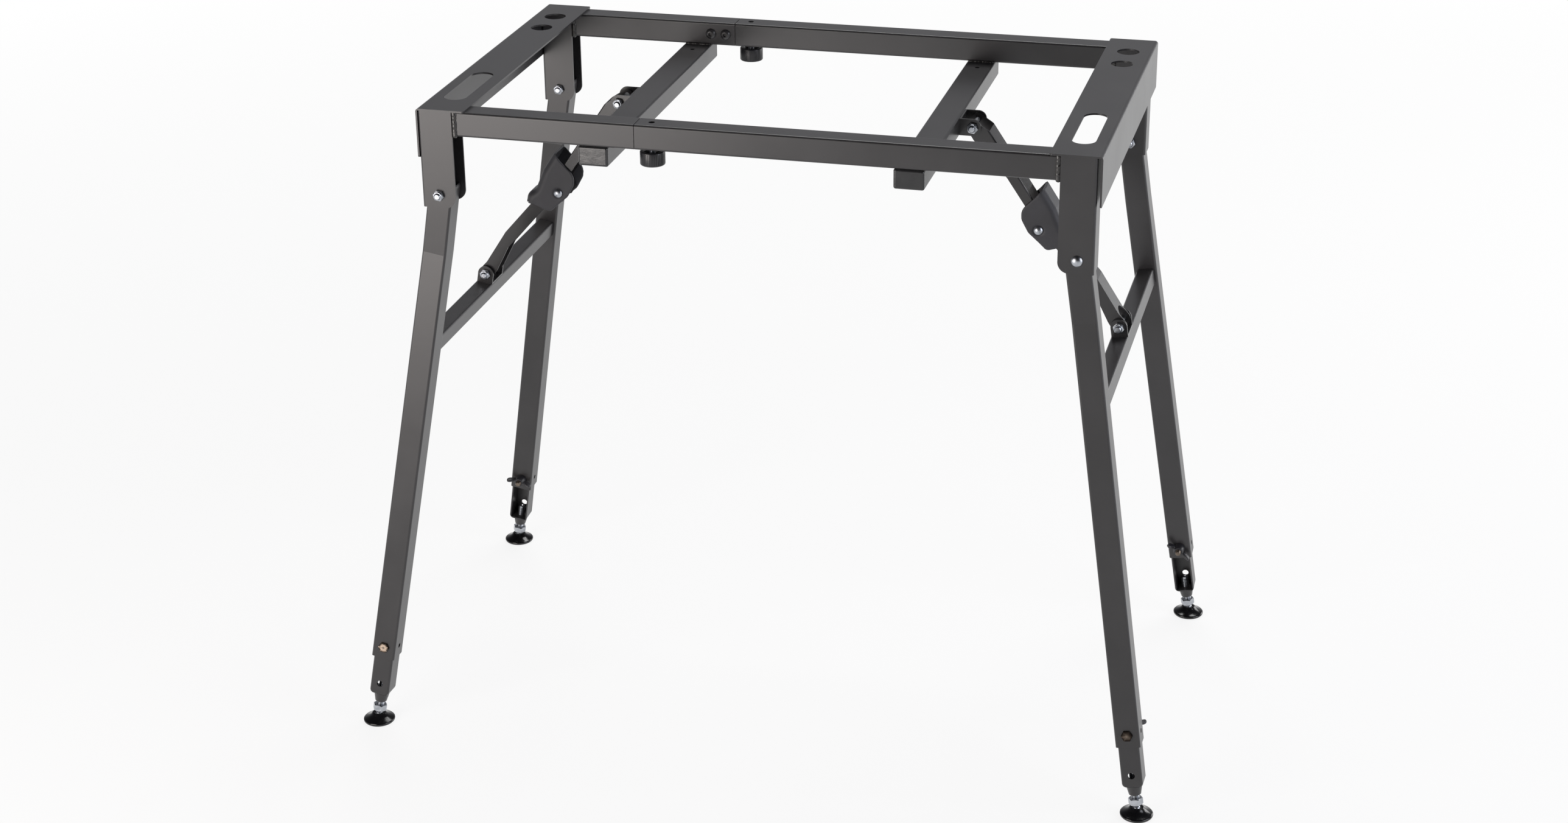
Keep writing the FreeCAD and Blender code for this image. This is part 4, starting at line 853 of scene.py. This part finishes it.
# How many degrees the ears are turned from upright, as they stopped when the legs were last set
EAR_LEAN = {
    ("left", "front"): 0, ("left", "rear"): 92, ("right", "front"): 88, ("right", "rear"): -48,
}
height_master = height_screw("height_master")
wing_master = wing_nut("wing_master")
for side in ("left", "right"):
    screws = []
    for row in ("front", "rear"):
        seat, inward = joint_line(f"{side}_{row}_wing_nut_turn")
        _, leg_up = joint_line(f"{side}_{row}_stud_turn")
        screws.append(settle(copy_of(height_master, "height"), seat, -inward, leg_up))
        lean = math.radians(EAR_LEAN[side, row])
        ears = leg_up * math.cos(lean) + leg_up.cross(inward) * math.sin(lean)
        nut = copy_of(wing_master, f"{side}_{row}_winged_nut")
        settle(nut, seat - inward * NUT_SEAT * MM, inward, ears)
        dressed(nut, None, "black_fasteners", f"{side}_{row}_nut", f"{side}_{row}_wing_nut")
    screws = joined(f"{side}_height_screws", screws)
    dressed(screws, None, "black_fasteners", f"{side}_leg_frame", f"{side}_height_bolts")

# %% [markdown]
# ## Levelling feet
# Each foot is an M8 stud with a zinc hexagon near its lower end and a ball below that. The ball
# snaps into a glossy black disc, which tilts to lie flat on the floor. The disc's upper side is a
# hollow cone that ends in a rounded rim. All of it is round but the hexagon, so it is spun from
# outlines. The thread is a row of rings, which look like a helix at this size and need fewer faces.

# %% Model the stud and the disc
def levelling_stud(name):
    """Runs up from the ball's centre at z = 0."""
    ball = []
    for step in range(13):
        angle = math.radians(-90 + step * 12.5)
        ball.append((max(0.0, 4.5 * math.cos(angle)), 4.5 * math.sin(angle)))
    stem = turned("stem", [*ball, (2.4, 4.0), (2.4, 6.2), (0, 6.2)], 40)
    bar = hexagon(name, 13.0, 6.0, 13.0)
    upper = turned("upper", [
        (0, 12.8), *thread(4.0, 12.8, 40.6, 1.25, 0.55), (3.2, 42.0), (2.3, 42.0), (1.7, 40.9),
        (0, 40.6),
    ], 32)
    parts = [bar, stem, upper]
    for part in parts:
        part.data.materials.append(zinc)
        smooth(part, 30)
    return joined(name, parts)


def foot_disc(name):
    """The ball's centre is at z = 0, and the floor is 7.6 mm below it."""
    outline = [
        (0, -6.4), (12.6, -6.4), (13.2, -7.0), (13.6, -7.6), (14.5, -7.6), (15.6, -7.1),
        (16.5, -6.1), (16.8, -5.0), (16.7, -4.2), (16.2, -3.6), (15.2, -3.2), (13.2, -2.3),
        (11.2, -1.2), (9.6, -0.1), (8.3, 1.1), (7.3, 2.3), (6.7, 2.85), (6.1, 3.0), (5.0, 3.0),
        (4.3, 2.8), (4.2, 1.87), (4.6, 0), (4.2, -1.87), (3.1, -3.4), (1.5, -4.35), (0, -4.6),
    ]
    return smooth(turned(name, outline, 96), 40)


stud_master = levelling_stud("stud_master")
disc_master = foot_disc("disc_master")
disc_master.data.materials.append(foot_gloss)
for side in ("left", "right"):
    for row in ("front", "rear"):
        leg = f"{side}_{row}"
        centre, leg_up = joint_line(f"{leg}_stud_turn")
        stud = settle(copy_of(stud_master, f"{leg}_levelling_stud"), centre, leg_up, BACK)
        dressed(stud, None, "zinc_steel", f"{leg}_stud", f"{leg}_foot_stud")
        disc = settle(copy_of(disc_master, f"{leg}_swivel_disc"), centre, UP, RIGHT)
        dressed(disc, None, "foot_plastic", f"{leg}_disc", f"{leg}_foot_disc")

for master in (head_master, nut_master, rivet_master, height_master, wing_master, stud_master,
               disc_master):
    bpy.data.objects.remove(master, do_unlink=True)

# %% [markdown]
# ## Weld beads
# The frame is welded before it is painted. A bead is a row of small puddles that froze one over
# the next, so each is made as a row of flattened balls, joined, remeshed into one skin and
# smoothed. The paint lies over it all.

# %% Tool that lays a weld bead
PUDDLE_PITCH = 0.0016
# A puddle's length in pitches, and how much its size and its place change along the bead
PUDDLE_LENGTH = 3.4
PUDDLE_UNEVENNESS = 0.10
PUDDLE_WANDER = 0.05
BEAD_MESH = 0.45
BEAD_SMOOTHING = 6


def weld(name, start, end, width, height, normal, seed):
    """A bead from start to end, in metres, that stands on a face with this normal."""
    along = (end - start).normalized()
    side_dir = normal.cross(along)
    turn = Matrix((along, side_dir, normal)).transposed().to_4x4()
    count = max(2, int(round((end - start).length / PUDDLE_PITCH)) + 1)
    puddles = []
    for index in range(count):
        wave = (math.sin(index * 2.4 + seed) + math.sin(index * 1.1 + seed * 1.7)) / 2
        size = 1 + wave * PUDDLE_UNEVENNESS
        bpy.ops.object.select_all(action="DESELECT")
        bpy.ops.mesh.primitive_uv_sphere_add(segments=16, ring_count=10, radius=0.5)
        puddle = bpy.context.object
        scale = Matrix.Diagonal((
            PUDDLE_PITCH * PUDDLE_LENGTH, width * size, height * 2 * size, 1
        ))
        spot = start + (end - start) * index / (count - 1)
        spot += side_dir * wave * width * PUDDLE_WANDER
        puddle.matrix_world = Matrix.Translation(spot) @ turn @ scale
        only(puddle)
        bpy.ops.object.transform_apply(location=True, rotation=True, scale=True)
        puddles.append(puddle)
    return reskin(joined(name, puddles), BEAD_MESH, BEAD_SMOOTHING)


# %% [markdown]
# A bead runs down each bracket's edge that faces the middle, on its tube's front and its back, and
# along each crossbar where it meets the tubes.

# %% Lay the beads of the top frame
# The sizes in metres: a bead's width and height, and how far it keeps from its edge or its ends
UPRIGHT_BEAD = (0.0052, 0.0019)
UPRIGHT_OFFSET = 0.0022
UPRIGHT_END = 0.0012
CROSSBAR_BEAD = (0.0034, 0.0014)
CROSSBAR_END = 0.004
for side in ("left", "right"):
    hand = 1 if side == "left" else -1
    bar_low, bar_high = box_of(f"{side}_crossbar")
    beads = []
    for row in ("front", "rear"):
        low, high = box_of(f"{side}_{row}_bracket")
        tube_low, tube_high = box_of(f"{side}_{row}_tube")
        x = (high.x if hand > 0 else low.x) + hand * UPRIGHT_OFFSET
        for face_y, out in ((tube_low.y, -BACK), (tube_high.y, BACK)):
            top = Vector((x, face_y, tube_high.z - UPRIGHT_END))
            bottom = Vector((x, face_y, tube_low.z + UPRIGHT_END))
            beads.append(weld("bead", top, bottom, *UPRIGHT_BEAD, out, len(beads)))
        y, inward = (tube_high.y, 1) if row == "front" else (tube_low.y, -1)
        corner = Vector((0, inward, -1)).normalized()
        left_end = Vector((bar_low.x + CROSSBAR_END, y, tube_low.z))
        right_end = Vector((bar_high.x - CROSSBAR_END, y, tube_low.z))
        beads.append(weld("bead", left_end, right_end, *CROSSBAR_BEAD, corner, len(beads)))
    beads = joined(f"{side}_frame_welds", beads)
    dressed(beads, weld_paint, "frame_paint", f"{side}_half")

# %% [markdown]
# ## Floor
# The photograph has a white studio around the stand. A pale floor catches the shadow. Near the
# stand a part of it is lit by the lamps, and further out it is all white, so that it has no
# horizon. Light Path tells how a ray came: the camera, the metal and anything clear see the white,
# and the floor's light on the stand stays that of a plain pale floor.

# %% Tool that picks rays
def rays_of(tree, *kinds):
    """1 for the kinds of rays that are named, and 0 for the others."""
    rays = add(tree, "ShaderNodeLightPath")
    picked = rays.outputs[kinds[0]]
    either = {"operation": "ADD", "use_clamp": True}
    for kind in kinds[1:]:
        picked = add(tree, "ShaderNodeMath", either, picked, rays.outputs[kind]).outputs["Value"]
    return picked


# %% Lay the floor
# Metres from the middle, and the share of plain white there
WHITE_FROM, WHITE_TO = (0.9, 0.85), (3.2, 1.0)
bpy.ops.object.select_all(action="DESELECT")
bpy.ops.mesh.primitive_plane_add(size=14.0, location=(0, 0, 0))
floor = bpy.context.object
floor.name = "studio_floor"
material, tree = new_material("pale_studio_floor")
direct = rays_of(tree, "Is Camera Ray", "Is Glossy Ray", "Is Transmission Ray")
place = add(tree, "ShaderNodeTexCoord").outputs["Object"]
reach = add(tree, "ShaderNodeVectorMath", {"operation": "LENGTH"}, place)
white_share = add(
    tree,
    "ShaderNodeMapRange",
    {
        "From_Min": WHITE_FROM[0], "From_Max": WHITE_TO[0],
        "To_Min": WHITE_FROM[1], "To_Max": WHITE_TO[1],
    },
    reach.outputs["Value"],
)
white_share = add(
    tree, "ShaderNodeMath", {"operation": "MULTIPLY"}, direct, white_share.outputs["Result"]
)
pale = add(tree, "ShaderNodeBsdfDiffuse", {"Color": linear("#f2f2f2")})
white = add(tree, "ShaderNodeEmission", {"Color": linear("#ffffff"), "Strength": 1.0})
mixed = add(
    tree,
    "ShaderNodeMixShader",
    {},
    white_share.outputs["Value"],
    pale.outputs["BSDF"],
    white.outputs["Emission"],
)
add(tree, "ShaderNodeOutputMaterial", {}, mixed.outputs["Shader"])
floor.data.materials.append(material)
print("floor", round(floor.dimensions.x, 1), "m wide")

# %% [markdown]
# ## Backdrop
# The camera, and anything clear, sees white all round. The satin paint mirrors the studio itself,
# which is bright near the ground behind the stand, and dark overhead and behind the camera. Two
# ramps give that, one by height and one by depth, and they are multiplied.

# %% Set the world
world = bpy.data.worlds.new("studio_white")
bpy.context.scene.world = world
world.use_nodes = True
tree = world.node_tree
tree.nodes.clear()
way = add(tree, "ShaderNodeTexCoord").outputs["Generated"]
way = add(tree, "ShaderNodeSeparateXYZ", {}, way)
by_height = add(tree, "ShaderNodeMapRange", {"From_Min": -0.1, "From_Max": 1.0}, way.outputs["Z"])
by_height = add(tree, "ShaderNodeValToRGB", {"stops": [
    (0.0, "#d8d8da"), (0.30, "#b4b4b7"), (0.50, "#6c6c70"), (0.75, "#2e2e31"), (1.0, "#252527"),
]}, by_height.outputs["Result"])
by_depth = add(tree, "ShaderNodeMapRange", {"From_Min": -1.0, "From_Max": 1.0}, way.outputs["Y"])
by_depth = add(tree, "ShaderNodeValToRGB", {"stops": [
    (0.0, "#4a4a4d"), (0.45, "#a2a2a6"), (1.0, "#ffffff"),
]}, by_depth.outputs["Result"])
shade = add(
    tree,
    "ShaderNodeVectorMath",
    {"operation": "MULTIPLY"},
    by_height.outputs["Color"],
    by_depth.outputs["Color"],
)
studio = add(tree, "ShaderNodeBackground", {"Strength": 1.0}, shade.outputs["Vector"])
white = add(tree, "ShaderNodeBackground", {"Color": linear("#ffffff"), "Strength": 1.0})
mixed = add(
    tree,
    "ShaderNodeMixShader",
    {},
    rays_of(tree, "Is Camera Ray", "Is Transmission Ray"),
    studio.outputs["Background"],
    white.outputs["Background"],
)
add(tree, "ShaderNodeOutputWorld", {}, mixed.outputs["Shader"])
print("world:", world.name)

# %% [markdown]
# ## Lamps
# Large soft lamps give the long mild reflections on the satin paint, where small ones would draw
# hard spots. The warm one stands low in front on the left, where the tubes and the left leg mirror
# it. One from above behind lights the tops, and two on the right give the bright edges of the right
# end plate.

# %% Hang the lamps
def softbox(name, place, target, width, height, watts, colour="#ffffff"):
    bpy.ops.object.select_all(action="DESELECT")
    bpy.ops.object.light_add(type="AREA", location=place)
    lamp = bpy.context.object
    lamp.name = name
    lamp.data.shape = "RECTANGLE"
    lamp.data.size = width
    lamp.data.size_y = height
    lamp.data.energy = watts
    lamp.data.color = linear(colour)[:3]
    aim = Vector(target) - Vector(place)
    lamp.rotation_euler = aim.to_track_quat("-Z", "Y").to_euler()
    return lamp


softbox("back_softbox", (0.1, 1.9, 3.6), (0, 0, 0.4), 2.8, 1.6, 88)
softbox("front_left_softbox", (-1.02, -1.6, 0.62), (-0.35, -0.2, 0.45), 1.15, 1.1, 24, "#fff8f4")
softbox("right_softbox", (2.4, -0.6, 1.1), (0, 0, 0.4), 1.6, 1.6, 29, "#f4f6ff")
softbox("back_right_softbox", (2.0, 1.9, 0.75), (0.2, 0.2, 0.4), 1.2, 1.2, 18)
bpy.context.scene.view_settings.view_transform = "Standard"
print(len(bpy.data.lights), "lamps")
